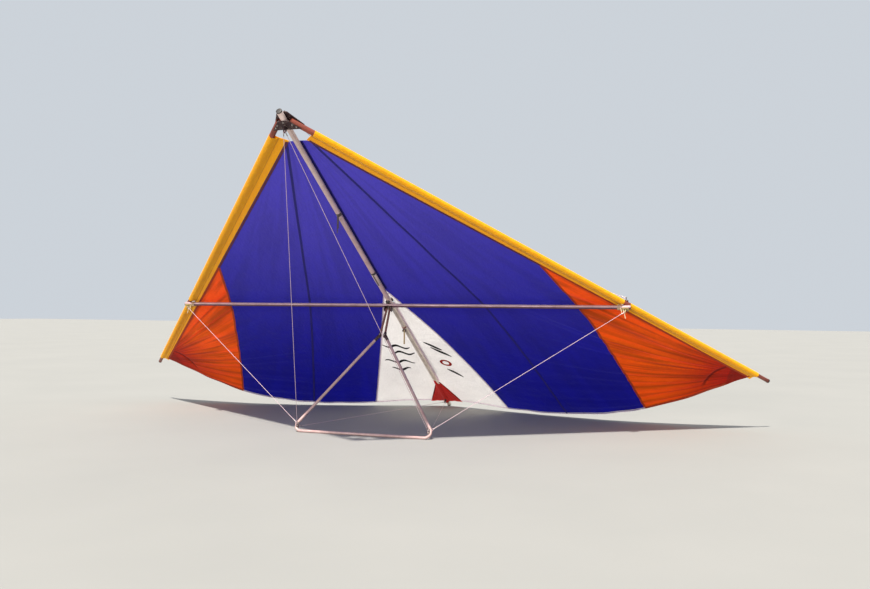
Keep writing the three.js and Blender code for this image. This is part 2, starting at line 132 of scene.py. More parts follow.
def sun(name, toward, strength, colour, spread):
    """A lamp so far off that its light is parallel. Its rays travel along toward."""
    lamp = bpy.data.lights.new(name, "SUN")
    lamp.energy, lamp.color, lamp.angle = strength, colour, math.radians(spread)
    holder = bpy.data.objects.new(name, lamp)
    holder.rotation_euler = Vector(toward).to_track_quat("-Z", "Y").to_euler()
    bpy.context.scene.collection.objects.link(holder)
    return holder


sun("high_sun", (0.02, 0.45, -0.89), 6.2, (1.0, 0.95, 0.87), 2)
sun("front_fill", (0.1, 0.96, -0.06), 2.95, (1.0, 0.94, 0.9), 30)
world = bpy.data.worlds.new("studio")
world.use_nodes = True
world.node_tree.nodes["Background"].inputs["Color"].default_value = (0.84, 0.9, 0.97, 1)
world.node_tree.nodes["Background"].inputs["Strength"].default_value = 0.72
bpy.context.scene.world = world
bpy.context.scene.view_settings.view_transform = "Standard"

bpy.ops.object.select_all(action="DESELECT")
bpy.ops.mesh.primitive_plane_add(size=2 * FLOOR_HALF)
floor = bpy.context.object
floor.name = "floor"

# %% [markdown]
# Blender's nodes can be wired one by one, but sums written as Python are far easier to read. A Link
# wraps the socket that a value comes out of. Adding or multiplying Links adds the Math nodes, and
# plain numbers may stand on either side.

# %% Shader sums
class Link:
    """What one node gives out, written in sums as a number would be."""

    def __init__(self, paint, socket):
        self.paint, self.socket = paint, socket

    def math(self, operation, *values):
        return self.paint.node("ShaderNodeMath", {"operation": operation}, dict(enumerate(values)))

    def __add__(self, other):
        return self.math("ADD", self, other)

    def __sub__(self, other):
        return self.math("SUBTRACT", self, other)

    def __rsub__(self, other):
        return self.math("SUBTRACT", other, self)

    def __mul__(self, other):
        return self.math("MULTIPLY", self, other)

    def __truediv__(self, other):
        return self.math("DIVIDE", self, other)

    def __pow__(self, other):
        return self.math("POWER", self, other)

    __radd__ = __add__
    __rmul__ = __mul__

    def sine(self):
        return self.math("SINE", self)

    def size(self):
        return self.math("ABSOLUTE", self)

    def step(self, low, high):
        """0 below low, 1 above high and smooth between them."""
        settings = {"interpolation_type": "SMOOTHSTEP"}
        return self.paint.node("ShaderNodeMapRange", settings, {"Value": self, 1: low, 2: high})


# %% [markdown]
# Every piece carries an attribute named grain: where each of its points was in the piece's own
# plain position, in metres, before it was bent or carried into place. On a tube its Z runs along
# the tube, and on cloth X and Y are the flat cut. Patterns that read it follow the piece however
# it lies, which patterns on world coordinates would not.

# %% Materials are built by a Paint
def rgb(red, green, blue):
    return (red, green, blue, 1.0)


class Paint:
    """One material in the making."""

    def __init__(self, name):
        self.material = bpy.data.materials.new(name)
        self.material.use_nodes = True
        self.tree = self.material.node_tree
        self.tree.nodes.clear()

    def node(self, kind, settings=None, values=None, out=0):
        """Adds a node, sets it, feeds its sockets, and gives its output as a Link."""
        made = self.tree.nodes.new(kind)
        for key, value in (settings or {}).items():
            setattr(made, key, value)
        for key, value in (values or {}).items():
            if isinstance(value, Link):
                self.tree.links.new(value.socket, made.inputs[key])
            else:
                made.inputs[key].default_value = value
        return Link(self, made.outputs[out])

    def grain(self, stretch=(1, 1, 1), shift=(0, 0, 0)):
        place = self.node("ShaderNodeAttribute", {"attribute_name": "grain"}, out=1)
        return self.node("ShaderNodeMapping", {}, {"Vector": place, "Scale": stretch, "Location": shift})

    def axis(self, number):
        """One coordinate of the grain: 0 for X, 1 for Y, 2 for Z."""
        return self.node("ShaderNodeSeparateXYZ", {}, {0: self.grain()}, out=number)

    def noise(self, scale, detail=3.0, rough=0.55, stretch=(1, 1, 1)):
        values = {"Vector": self.grain(stretch), "Scale": scale, "Detail": detail, "Roughness": rough}
        return self.node("ShaderNodeTexNoise", {}, values)

    def fan(self, point):
        """Bearing and distance of a point of the plan, the same on both halves of the sail."""
        away_x, away_y = point[0] - self.axis(0).size(), point[1] - self.axis(1)
        bearing = self.node("ShaderNodeMath", {"operation": "ARCTAN2"}, {0: away_x, 1: away_y})
        return bearing, (away_x ** 2.0 + away_y ** 2.0) ** 0.5

    def streaks(self, along, across, detail=4.0):
        """A noise drawn out along one value and close across another."""
        place = self.node("ShaderNodeCombineXYZ", {}, {0: across, 1: along})
        return self.node("ShaderNodeTexNoise", {}, {"Vector": place, "Scale": 1.0, "Detail": detail})

    def mix(self, share, first, second, way="MIX"):
        """Two colours mixed, or blended in another way."""
        settings = {"data_type": "RGBA", "blend_type": way}
        return self.node("ShaderNodeMix", settings, {0: share, 6: first, 7: second}, out=2)

    def light_through(self, colour, surface=None):
        """A shader that shows the light that comes through a cloth, in one colour."""
        values = {"Color": colour}
        if surface:
            values["Normal"] = surface
        return self.node("ShaderNodeBsdfTranslucent", {}, values)

    def blend(self, share, first, second):
        """Two shaders mixed."""
        return self.node("ShaderNodeMixShader", {}, {0: share, 1: first, 2: second})

    def bump(self, height, depth, under=None):
        values = {"Height": height, "Distance": depth, "Strength": 1.0}
        if under:
            values["Normal"] = under
        return self.node("ShaderNodeBump", {}, values)

    def principled(self, **values):
        spaced = {key.replace("_", " "): value for key, value in values.items()}
        return self.node("ShaderNodeBsdfPrincipled", {}, spaced)

    def finish(self, shader):
        """Wires the shader to the output and gives back the finished material."""
        output = self.tree.nodes.new("ShaderNodeOutputMaterial")
        self.tree.links.new(shader.socket, output.inputs["Surface"])
        return self.material


# %% [markdown]
# The floor is not part of the glider, but it takes its shadow, so it has a material of its own: a
# pale matt sheet with the faintest mottle.

# %% Floor finish
def floor_finish():
    paint = Paint("studio_floor")
    place = paint.node("ShaderNodeTexCoord", out=3)
    mottle = paint.node("ShaderNodeTexNoise", {}, {"Vector": place, "Scale": 0.7, "Detail": 4.0})
    colour = paint.mix(mottle, rgb(0.27, 0.27, 0.258), rgb(0.31, 0.305, 0.29))
    return paint.finish(paint.principled(Base_Color=colour, Roughness=0.9))


floor.data.materials.append(floor_finish())

# %% [markdown]
# Modelling by code needs the same care as by hand: nothing may be selected by accident, and edit
# mode must be left again. A few short helpers keep that out of the way. Settling a piece records
# its grain, carries its mesh into the parked frame, and ties it to the body that it moves with. It
# also prints the piece, so each later cell says what it made.

# %% Modelling helpers
def leave_edit_mode():
    if bpy.context.object and bpy.context.object.mode != "OBJECT":
        bpy.ops.object.mode_set(mode="OBJECT")


def choose(*pieces):
    """Selects only these objects and makes the first one active."""
    leave_edit_mode()
    bpy.ops.object.select_all(action="DESELECT")
    for piece in pieces:
        piece.select_set(True)
    bpy.context.view_layer.objects.active = pieces[0]


def start(name, primitive, **settings):
    """Adds a primitive with nothing else selected, and puts its place into its mesh."""
    leave_edit_mode()
    bpy.ops.object.select_all(action="DESELECT")
    primitive(**settings)
    piece = bpy.context.object
    piece.name = piece.data.name = name
    bpy.ops.object.transform_apply(location=True, rotation=True, scale=True)
    return piece


def pick(piece, test, kind="FACE"):
    """Goes into edit mode with just the faces, edges or points that pass the test selected."""
    choose(piece)
    bpy.ops.object.mode_set(mode="EDIT")
    bpy.ops.mesh.select_mode(type=kind)
    bpy.ops.mesh.select_all(action="DESELECT")
    mesh = bmesh.from_edit_mesh(piece.data)
    for part in {"FACE": mesh.faces, "EDGE": mesh.edges, "VERT": mesh.verts}[kind]:
        part.select_set(bool(test(part)))
    mesh.select_flush_mode()
    bmesh.update_edit_mesh(piece.data)


def pick_all(piece):
    """Goes into edit mode with every point selected, and so every edge and face too."""
    choose(piece)
    bpy.ops.object.mode_set(mode="EDIT")
    bpy.ops.mesh.select_mode(type="VERT")
    bpy.ops.mesh.select_all(action="SELECT")


def modify(piece, kind, **settings):
    """Adds a modifier, sets it and applies it at once."""
    choose(piece)
    modifier = piece.modifiers.new(kind, kind)
    for key, value in settings.items():
        setattr(modifier, key, value)
    bpy.ops.object.modifier_apply(modifier=modifier.name)


def join(name, pieces):
    """Joins several meshes into the first, under a new name."""
    choose(*pieces)
    if len(pieces) > 1:
        bpy.ops.object.join()
    pieces[0].name = pieces[0].data.name = name
    return pieces[0]


def smooth(piece, angle=35):
    choose(piece)
    bpy.ops.object.shade_smooth_by_angle(angle=math.radians(angle))


def round_edges(piece, width, angle):
    """Bevels every edge that turns by more than an angle in degrees."""
    modify(piece, "BEVEL", width=width, segments=2, limit_method="ANGLE", angle_limit=math.radians(angle))


def turn_outwards(piece, near=None):
    """Merges points that lie together, where a distance is given, and turns every face outwards."""
    pick_all(piece)
    if near:
        bpy.ops.mesh.remove_doubles(threshold=near)
    bpy.ops.mesh.normals_make_consistent(inside=False)
    leave_edit_mode()


def outline_square(piece, corners):
    """Moves the four points of a fresh square to four corners, given in turn round it."""
    for point, (x, y) in zip((0, 1, 3, 2), corners):
        piece.data.vertices[point].co = (x, y, 0)


def record_grain(piece, frame_of_grain=None):
    """Stores where each point is in the piece's own frame, as an attribute that materials read."""
    back = (frame_of_grain or Matrix.Identity(4)).inverted()
    grain = piece.data.attributes.new("grain", "FLOAT_VECTOR", "POINT")
    for point, value in zip(piece.data.vertices, grain.data):
        value.vector = back @ point.co


def settle(piece, material, slot, body="root", nodes=(), place=RIG):
    """Carries a finished piece from the rigging frame into the parked frame, and ties it there."""
    leave_edit_mode()
    if "grain" not in piece.data.attributes:
        record_grain(piece)
    piece.data.transform(place)
    piece.data.materials.clear()
    piece.data.materials.append(material)
    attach(piece, body)
    if nodes:
        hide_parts(*nodes)
    print(piece.name, len(piece.data.polygons), "faces on", body)
    return piece


def one_side_area(sheet):
    """The area of a thin sheet, of which its faces count both sides."""
    return sum(face.area for face in sheet.data.polygons) / 2


def axis_frame(start_point, end_point):
    """A matrix whose origin is the start and whose Z runs to the end."""
    span = Vector(end_point) - Vector(start_point)
    return Matrix.Translation(start_point) @ span.to_track_quat("Z", "Y").to_matrix().to_4x4()


# %% [markdown]
# Sailcloth is a close plain weave, filled with resin until it is crisp. Light comes through it, so
# its material is part reflecting and part translucent, and where two layers lie together, as in a
# seam, it turns dark against the sun. The weave itself is finer than a millimetre and only shows
# close to, so it is bump. The larger crackle of handled cloth and its uneven fading are what show
# from a few metres. A cloth is described as layers of colour, each with a share that changes over the
# surface. They go one after another onto the face that reflects and onto the light from behind.

# %% Cloth
WEAVE_PER_METRE = 900.0
WEAVE_DEPTH = 0.00018
WEAVE_SHADE = 0.12
CRINKLE = 0.01
FOLDS_PER_RADIAN = 26.0
FOLD_STRETCH = 0.8
FADED_GLOW = 0.35
BLACK = rgb(0, 0, 0)
# Colour of the painted shade in the crease round the tip.
CREASE_SHADE_MAROON = rgb(0.09, 0.003, 0.004)
CREASE_SHADE = 0.6
# A crease round the wing tip: the bearings where it starts and ends, its distance from the tip at
# the start, and how much that grows with each radian.
CREASE_BEARING, CREASE_LAST, CREASE_NEAR, CREASE_GROWTH = 0.96, 1.74, 0.338, 0.253


def corner_layers(paint, corner, creased):
    """Painted tone round a point that folds run to, with painted shade along folds and crease."""
    point, near, far, fold_darkness, corner_tone, corner_tone_glow = corner
    bearing, distance = paint.fan(point)
    # Painted shade: dark streaks that follow the folds.
    folds = paint.streaks(distance * FOLD_STRETCH, bearing * FOLDS_PER_RADIAN).step(0.4, 0.66) * fold_darkness
    # A tone painted round the corner, which fades out with distance.
    corner_tone_share = 1 - distance.step(near, far)
    layers = [(corner_tone_share, corner_tone, corner_tone_share, corner_tone_glow), (folds, BLACK, folds, BLACK)]
    if creased:
        # Painted shade: a dark maroon line along the crease round the tip.
        from_crease = (distance - (bearing - CREASE_BEARING) * CREASE_GROWTH - CREASE_NEAR).size()
        crease = (1 - from_crease.step(0.006, 0.026)) * bearing.step(0.8, 1.1)
        crease = crease * (1 - bearing.step(1.55, 1.75)) * CREASE_SHADE
        layers.append((crease, CREASE_SHADE_MAROON, crease, CREASE_SHADE_MAROON))
    return layers


def cloth(name, colour, faded, through, glow, corner=None, painted=False, creased=False):
    """A woven cloth: its colour, its colour where it has faded, its share of light let through and
    the colour of that light. A layer is a share and a colour for the face, and the same for the light."""
    paint = Paint(name)
    specks = paint.noise(34.0, 3.0, 0.6)
    worn = (paint.noise(1.6, 4.0, 0.6) * 0.75 + specks * 0.25).step(0.36, 0.66)
    threads_x = (paint.axis(0) * WEAVE_PER_METRE * 2).sine()
    threads_y = (paint.axis(1) * WEAVE_PER_METRE * 2).sine()
    weave = (threads_x * threads_y) * 0.5 + 0.5
    layers = [(worn, faded, worn * FADED_GLOW, faded)]
    if corner:
        layers += corner_layers(paint, corner, creased)
    layers.append(((1 - weave) * WEAVE_SHADE, BLACK, None, None))
    if painted:
        layers += painted_layers(paint)
    ripple = paint.noise(9.0, 5.0, 0.62)
    creases = paint.noise(38.0, 2.0, 0.5, (1, 0.55, 1))
    surface = paint.bump(ripple + creases * 0.35, CRINKLE)
    surface = paint.bump(weave, WEAVE_DEPTH, surface)
    tint, back = colour, paint.light_through(glow, surface)
    for share, shade, light_share, light in layers:
        tint = paint.mix(share, tint, shade)
        if light:
            back = paint.blend(light_share, back, paint.light_through(light, surface))
    front = paint.principled(
        Base_Color=tint, Roughness=0.62 + specks * 0.18, Normal=surface,
        Sheen_Weight=0.1, Sheen_Roughness=0.45, Specular_IOR_Level=0.2,
    )
    return paint.finish(paint.blend(through, front, back))


# %% [markdown]
# The white panels carry plain brush marks, a few black waves on one side and slanting strokes round
# a red ring on the other. They are painted on the flat cut, so each mark is a formula of X and Y:
# the distance from a curve, made into a mask. Paint stops the light, so they stay dark from below.

# %% Painted marks
INK = rgb(0.008, 0.006, 0.007)
RED_INK = rgb(0.42, 0.03, 0.02)
RIPPLES = 34.0
PAINT_EDGE = (-0.002, 0.003)
# A stroke runs from one X to another and starts at a Y. Its kind says its slope, wave and thickness.
WAVES = ((-0.4, -0.08, 3.6), (-0.34, -0.06, 3.75), (-0.46, -0.12, 3.92), (-0.42, -0.2, 4.1))
DASHES = ((0.1, 0.29, 3.55), (0.15, 0.37, 3.65), (0.22, 0.4, 4.12))
WAVE_KIND = (0.25, 0.026, 0.022)
DASH_KIND = (0.75, 0.004, 0.026)
RING_X, RING_Y, RING_RADIUS, RING_HALF = 0.25, 3.98, 0.055, 0.015


def stroke(x, y, start_x, end_x, middle, slope, wave, thick):
    """A brush stroke along a wave, which thins out towards its ends."""
    run = (x - start_x) / (end_x - start_x)
    body = (run * math.pi).sine()
    curve = (x - start_x) * slope + (x * RIPPLES).sine() * wave + middle
    half = (body.math("MAXIMUM", body, 0.0) ** 0.6) * thick
    inside = run.step(0.0, 0.06) * (1 - run.step(0.94, 1.0))
    return (1 - ((y - curve).size() - half).step(*PAINT_EDGE)) * inside


def painted_layers(paint):
    """Layers for the black strokes and the red ring."""
    rough = paint.noise(45.0, 4.0, 0.6)
    x, y = paint.axis(0) + rough * 0.012, paint.axis(1) + rough * 0.01
    strokes = [stroke(x, y, *place, *WAVE_KIND) for place in WAVES]
    strokes += [stroke(x, y, *place, *DASH_KIND) for place in DASHES]
    black = strokes[0]
    for other in strokes[1:]:
        black = black.math("MAXIMUM", black, other)
    away = ((x - RING_X) ** 2.0 + (y - RING_Y) ** 2.0) ** 0.5
    red = 1 - ((away - RING_RADIUS).size() - RING_HALF).step(*PAINT_EDGE)
    return [(black, INK, black, INK), (red, RED_INK, red, RED_INK)]


# %% [markdown]
# The sail is two flat halves, fuller than the frame that they are set on, so that air lifts each
# into a lobe. Parked with no wind, the cloth behind the crossbar hangs down between the keel and
# the leading edge instead. One formula gives that form. u runs from 0 on the keel to 1 on the
# leading edge, and the belly is nothing at either and deepest between them.

# %% The form of the sail
SAIL_FRONT = 0.305
SAIL_TAIL = 4.985
SAIL_SAG = 0.325
SAIL_LIFT = 0.03
ROOT_LIFT = 0.026
POCKET_START = 0.275
POCKET_END = 5.34
POCKET_WIDTH = 0.136
POCKET_TIP_WIDTH = 0.084
TIP = Vector((POCKET_END * math.sin(NOSE_HALF_ANGLE), POCKET_END * math.cos(NOSE_HALF_ANGLE)))
EDGE_SLOPE = (TIP.y - SAIL_TAIL) / TIP.x
SPREAD = math.tan(NOSE_HALF_ANGLE)


def ramp(value, low, high):
    """0 below low, 1 above high, smooth between them."""
    share = min(1.0, max(0.0, (value - low) / (high - low)))
    return share * share * (3 - 2 * share)


def sail_height(x, y):
    """Height of the calm sail above the plane of the tubes, x out from the keel and y aft."""
    u = min(1.0, max(0.0, x / (max(y, 0.01) * SPREAD)))
    edge = SAIL_TAIL / (1 - EDGE_SLOPE * u * SPREAD)
    ahead = min(1.0, y / HUB_Y)
    behind = max(0.0, (y - HUB_Y) / (edge - HUB_Y))
    belly = (4 * u * (1 - u)) ** 1.42
    return ROOT_LIFT * (1 - u) + (SAIL_LIFT * ahead * (1 - behind) - SAIL_SAG * behind**1.45) * belly


def edge_y(x):
    """Where the trailing edge is, aft of the nose, at a distance out from the keel."""
    return SAIL_TAIL + EDGE_SLOPE * x


# %% [markdown]
# Every panel has its own cloth. The blue is painted paler towards the nose, and the orange is painted
# deeper towards the wing tips, as painted shade. Such a corner is a point, the distances over which
# its painted tone fades out, how dark the painted shade along its folds is, and its two colours, of
# the face and of the light.

# %% Colours of the sail
NOSE_CORNER = ((0.0, 0.0), 0.3, 4.6, 0.1, rgb(0.13, 0.1, 0.42), rgb(0.13, 0.11, 0.72))
# The orange's deeper tone towards the tip is painted shade.
TIP_CORNER = (tuple(TIP), 0.2, 1.15, 0.34, rgb(0.42, 0.016, 0.004), rgb(0.66, 0.012, 0.004))
BLUE = cloth("sailcloth_blue", rgb(0.007, 0.007, 0.2), rgb(0.012, 0.011, 0.25), 0.5,
             rgb(0.02, 0.018, 0.62), NOSE_CORNER)
YELLOW = cloth("sailcloth_yellow", rgb(1.0, 0.49, 0.008), rgb(0.98, 0.45, 0.01), 0.27,
               rgb(1.0, 0.6, 0.018))
ORANGE = cloth("sailcloth_orange", rgb(0.78, 0.145, 0.003), rgb(0.7, 0.12, 0.003), 0.5,
               rgb(1.0, 0.2, 0.003), TIP_CORNER, creased=True)
WHITE = cloth("sailcloth_white", rgb(0.9, 0.87, 0.86), rgb(0.85, 0.82, 0.81), 0.58,
              rgb(1.0, 0.98, 0.96), painted=True)
RED = cloth("sailcloth_red", rgb(0.9, 0.03, 0.02), rgb(0.8, 0.03, 0.018), 0.3, rgb(0.95, 0.03, 0.02))
print("cloths", [m.name for m in (BLUE, YELLOW, ORANGE, WHITE, RED)])

# %% [markdown]
# Cloth under tension wrinkles along the pull, and every wrinkle starts where the load comes in.
# Short pleats fan out from the nose, long folds run from the wing tip up the orange panel, and the
# free trailing edge flutters a little. Each of these is a wave across the lines of pull, faded out
# with distance, on top of slow uneven swells that keep the panels from looking moulded. One sharp
# crease bends round the tip, where the cloth has been rolled up many times.

# %% Wrinkles
SWELL, SMALL_SWELL = 0.009, 0.003
NOSE_PLEATS, PLEAT_HEIGHT, PLEAT_REACH = 62, 0.0055, 0.42
TIP_FOLDS, FOLD_HEIGHT, FOLD_WANDER = 46, 0.0095, 1.9
CREASE_HEIGHT, CREASE_HALF = 0.014, 0.016
FLUTTER_WAVES, FLUTTER_HEIGHT, FLUTTER_REACH = 13, 0.0035, 0.16
PULL_WAVES, PULL_SLANT, PULL_HEIGHT = 11, 0.55, 0.0022


def swells(x, y):
    """Slow and uneven, and gone by the nose, where the cloth is tight."""
    swell = noise.noise(Vector((x * 0.9, y * 0.7, 3.1))) * SWELL
    swell += noise.noise(Vector((x * 2.7, y * 2.1, 8.4))) * SMALL_SWELL
    return swell * ramp(y, 0.4, 1.4)


def nose_pleats(out, y):
    """Short pleats that fan out from the nose."""
    from_nose = math.hypot(out, y)
    fade = math.exp(-((from_nose - SAIL_FRONT) / PLEAT_REACH) ** 2) * ramp(from_nose, 0.2, 0.4)
    return math.sin(math.atan2(out, y) * NOSE_PLEATS) * PLEAT_HEIGHT * fade


def tip_folds(x, bearing, from_tip):
    """Long folds that run from the wing tip up the panel, at two widths."""
    wander = noise.noise(Vector((bearing * 7, from_tip * 0.6, x * 0.2))) * FOLD_WANDER
    fold = math.sin(bearing * TIP_FOLDS + wander * 2)
    fold += 0.55 * math.sin(bearing * TIP_FOLDS * 2.3 + wander * 5)
    reach = ramp(from_tip, 0.05, 0.8) * (1 - ramp(from_tip, 1.3, 3.1))
    return fold * (FOLD_HEIGHT * reach * (1 - ramp(bearing, 0.95, 1.3) * 0.6))


def tip_crease(bearing, from_tip):
    """The one sharp crease, which bends round the tip."""
    crease_at = CREASE_NEAR + CREASE_GROWTH * (bearing - CREASE_BEARING)
    crease = CREASE_HEIGHT * math.exp(-((from_tip - crease_at) / CREASE_HALF) ** 2)
    begun = ramp(bearing, CREASE_BEARING - 0.15, CREASE_BEARING + 0.1)
    return crease * (begun * (1 - ramp(bearing, 1.6, CREASE_LAST)))


def edge_flutter(x, y):
    """Waves along the free trailing edge."""
    out = abs(x)
    wave = math.sin(out * FLUTTER_WAVES + 5 * noise.noise(Vector((x * 1.3, 0, 5)))) * FLUTTER_HEIGHT
    return wave * (math.exp(-max(0.0, edge_y(out) - y) / FLUTTER_REACH) * ramp(out, 0.15, 0.6))


def belly_pull(x, y):
    """Faint slanting lines of pull across the middle of the sail."""
    wander = noise.noise(Vector((x * 1.1, y * 0.4, 1)))
    wave = math.sin((y - PULL_SLANT * abs(x)) * PULL_WAVES + 3 * wander) * PULL_HEIGHT
    return wave * (ramp(y, 1.0, 1.8) * (1 - ramp(y, 2.9, 3.4)))


def wrinkle(x, y):
    """How far the cloth lies off its calm form at a point of the flat sail. It is taut at the keel
    and at the pocket, where it is held."""
    out = abs(x)
    back_x, back_y = TIP.x - out, TIP.y - y
    from_tip, bearing = math.hypot(back_x, back_y), math.atan2(back_x, back_y)
    from_pocket = y * math.sin(NOSE_HALF_ANGLE) - out * math.cos(NOSE_HALF_ANGLE)
    taut = ramp(out, 0.0, 0.12) * ramp(from_pocket - pocket_width(math.hypot(out, y)), 0.01, 0.16)
    total = swells(x, y) + nose_pleats(out, y) + tip_folds(x, bearing, from_tip)
    total += edge_flutter(x, y) + belly_pull(x, y) + tip_crease(bearing, from_tip)
    return total * taut


def on_sail(x, y, off=0.0):
    """The point of the dressed sail above a point of the plan, on either side of the keel."""
    return Vector((x, y, sail_height(abs(x), y) + wrinkle(x, y) + off))


# %% [markdown]
# Each panel is cut from one flat grid, as a sailmaker cuts it from the roll: the grid is sliced
# along the straight seams with the bisect operator, and what lies outside is thrown away. Only
# then is it lifted onto the form, so its edges follow the seams exactly. Solidify gives it two
# faces, because an open sheet has no inside and exports badly.

# %% Seams and panels
CELL = 0.016
SLIVER = 0.0004
CUT_WIDTH, CUT_LENGTH = 3.6, 4.8
CLOTH_THICKNESS = 0.0012
SEAM_GAP = 0.0002
HOLE_HALF = 0.036
ROOT_APEX, ROOT_FOOT = 2.48, (0.81, 4.72)
PATCH_APEX, PATCH_FOOT = 4.47, (0.2, 4.98)
TIP_SEAM_TOP, TIP_SEAM_FOOT = Vector((1.634, 2.045)), Vector((2.411, 4.34))


def pocket_width(along):
    return POCKET_WIDTH + (POCKET_TIP_WIDTH - POCKET_WIDTH) * along / POCKET_END


def leading_point(along, inward=0.0):
    """A point of the plan, along the right leading edge from the nose and in towards the keel."""
    sine, cosine = math.sin(NOSE_HALF_ANGLE), math.cos(NOSE_HALF_ANGLE)
    return Vector((along * sine - inward * cosine, along * cosine + inward * sine))


def line(first, second, keep):
    """A cut through two points of the plan, as (point, normal that points away from keep)."""
    run = (second - first).normalized()
    normal = Vector((run.y, -run.x))
    if (keep - first).dot(normal) > 0:
        normal = -normal
    return first - normal * SEAM_GAP, normal


def ray(apex, slope, keep):
    """A cut along x = slope * (y - apex)."""
    return line(Vector((0, apex)), Vector((slope, apex + 1)), keep)


def plan(x, y):
    return Vector((x, y))


POCKET_INNER = (leading_point(0, POCKET_WIDTH), leading_point(POCKET_END, POCKET_TIP_WIDTH))
EDGE_POINTS = (plan(0, SAIL_TAIL), TIP)
MID_SEAM = (0, math.tan(math.radians(18.7)))
ROOT_SEAM = (ROOT_APEX, ROOT_FOOT[0] / (ROOT_FOOT[1] - ROOT_APEX))
PATCH_SEAM = (PATCH_APEX, PATCH_FOOT[0] / (PATCH_FOOT[1] - PATCH_APEX))
TIP_SEAM_SLOPE = (TIP_SEAM_FOOT.x - TIP_SEAM_TOP.x) / (TIP_SEAM_FOOT.y - TIP_SEAM_TOP.y)
TIP_SEAM = (TIP_SEAM_TOP.y - TIP_SEAM_TOP.x / TIP_SEAM_SLOPE, TIP_SEAM_SLOPE)
# Panel: cloth, slot, a point inside it, its seams as (apex, slope), then cut width, length and area.
PANELS = {
    "blue_inner": (BLUE, "cloth_blue", plan(0.7, 3.0), (MID_SEAM, ROOT_SEAM), (1.1, 4.75, 2.83)),
    "blue_outer": (BLUE, "cloth_blue", plan(1.4, 3.0), (MID_SEAM, TIP_SEAM), (1.3, 4.9, 3.11)),
    "orange_tip": (ORANGE, "cloth_orange", plan(2.6, 3.9), (TIP_SEAM,), (1.2, 2.9, 1.31)),
    "white_root": (WHITE, "cloth_white", plan(0.2, 4.3), (ROOT_SEAM, PATCH_SEAM), (0.9, 2.6, 1.0)),
    "red_tail": (RED, "cloth_red", plan(0.03, 4.9), (PATCH_SEAM,), (0.25, 0.52, 0.048)),
}


def over_kingpost_hole(face):
    """Whether a face lies in the hole through which the kingpost stands on the keel."""
    centre = face.calc_center_median()
    return centre.x < HOLE_HALF and abs(centre.y - HUB_Y) < HOLE_HALF


def slice_off(sheet, point, normal):
    """Cuts a flat sheet along a line of the plan and throws away what lies beyond it."""
    pick_all(sheet)
    bpy.ops.mesh.bisect(
        plane_co=(point.x, point.y, 0), plane_no=(normal.x, normal.y, 0), clear_outer=True,
    )


def cut_panel(name, side, inside, rays):
    """One panel of one half: a flat grid sliced along its seams, still lying flat."""
    columns, rows = round(CUT_WIDTH / CELL), round(CUT_LENGTH / CELL)
    sheet = start(
        name, bpy.ops.mesh.primitive_grid_add, x_subdivisions=columns, y_subdivisions=rows, size=1,
    )
    pick_all(sheet)
    bpy.ops.transform.resize(value=(CUT_WIDTH, CUT_LENGTH, 1), center_override=(0, 0, 0))
    bpy.ops.transform.translate(value=(CUT_WIDTH / 2, SAIL_FRONT + CUT_LENGTH / 2, 0))
    leave_edit_mode()
    cuts = [ray(apex, slope, inside) for apex, slope in rays]
    cuts.append(line(*POCKET_INNER, inside))
    cuts.append(line(*EDGE_POINTS, inside))
    cuts.append((plan(SEAM_GAP, 0), plan(-1, 0)))
    for point, normal in cuts:
        slice_off(sheet, point, normal)
    pick(sheet, over_kingpost_hole)
    bpy.ops.mesh.delete(type="FACE")
    pick_all(sheet)
    bpy.ops.mesh.remove_doubles(threshold=SLIVER)
    leave_edit_mode()
    if side < 0:
        sheet.data.transform(Matrix.Diagonal((-1, 1, 1, 1)))
        sheet.data.flip_normals()
    return sheet


def drape(sheet, off=0.0):
    """Records the flat cut as the grain, then lifts every point onto the sail."""
    record_grain(sheet)
    for point in sheet.data.vertices:
        point.co = on_sail(point.co.x, point.co.y, off)
    sheet.data.update()


def make_panel(panel, side_name, side):
    material, slot, inside, rays, (width, length, area) = PANELS[panel]
    sheet = cut_panel(f"{panel}_{side_name}", side, inside, rays)
    drape(sheet)
    modify(sheet, "SOLIDIFY", thickness=CLOTH_THICKNESS, offset=0)
    smooth(sheet, 60)
    settle(sheet, material, slot, nodes=[f"sail_{panel}_{side_name}"])
    return sheet


for side_name, side in SIDES:
    for panel in PANELS:
        piece = make_panel(panel, side_name, side)
        print(piece.name, round(one_side_area(piece), 2), "square metres")

# %% [markdown]
# The tubes are drawn aluminium that has been carried on car roofs and laid in grass for years. Drawing
# leaves fine streaks along a tube, handling leaves dull blotches, and dirt gathers in small specks.
# Stretching one noise along the tube's own Z gives the streaks, and two plainer ones give the rest.
# A painted shade is a function that says how strong it is from place to place. The crossbar's
# underside is painted darker, as painted shade, and the keel is painted darker and more purple
# between the nose and the hub, as painted shade.

# %% Tube finishes
# Heights over which the painted shade on the crossbar's underside fades out.
SHADE_HEIGHT = (-0.007, 0.004)
# Where the keel's painted shade ends at the hub, and where it grows in from the nose.
SHADED_TO = (HUB_Y - 0.1, HUB_Y + 0.1)
SHADED_FROM = (0.4, 1.5)
GRIME = rgb(0.09, 0.06, 0.045)


def crossbar_underside_shade(paint):
    """Painted shade: 1 along the underside of the parked crossbar and 0 above."""
    own_axes = (RIG @ axis_frame((0, 0, 0), (1, 0, 0))).to_3x3()
    skyward = own_axes.transposed() @ Vector((0, 0, 1))
    height = paint.axis(0) * skyward.x + paint.axis(1) * skyward.y
    return 1 - height.step(*SHADE_HEIGHT)


def keel_shade_before_hub(paint):
    """Painted shade: 0 behind the hub, 1 before it, and less towards the nose."""
    along = paint.axis(2)
    return (1 - along.step(*SHADED_TO)) * (along.step(*SHADED_FROM) * 0.4 + 0.6)


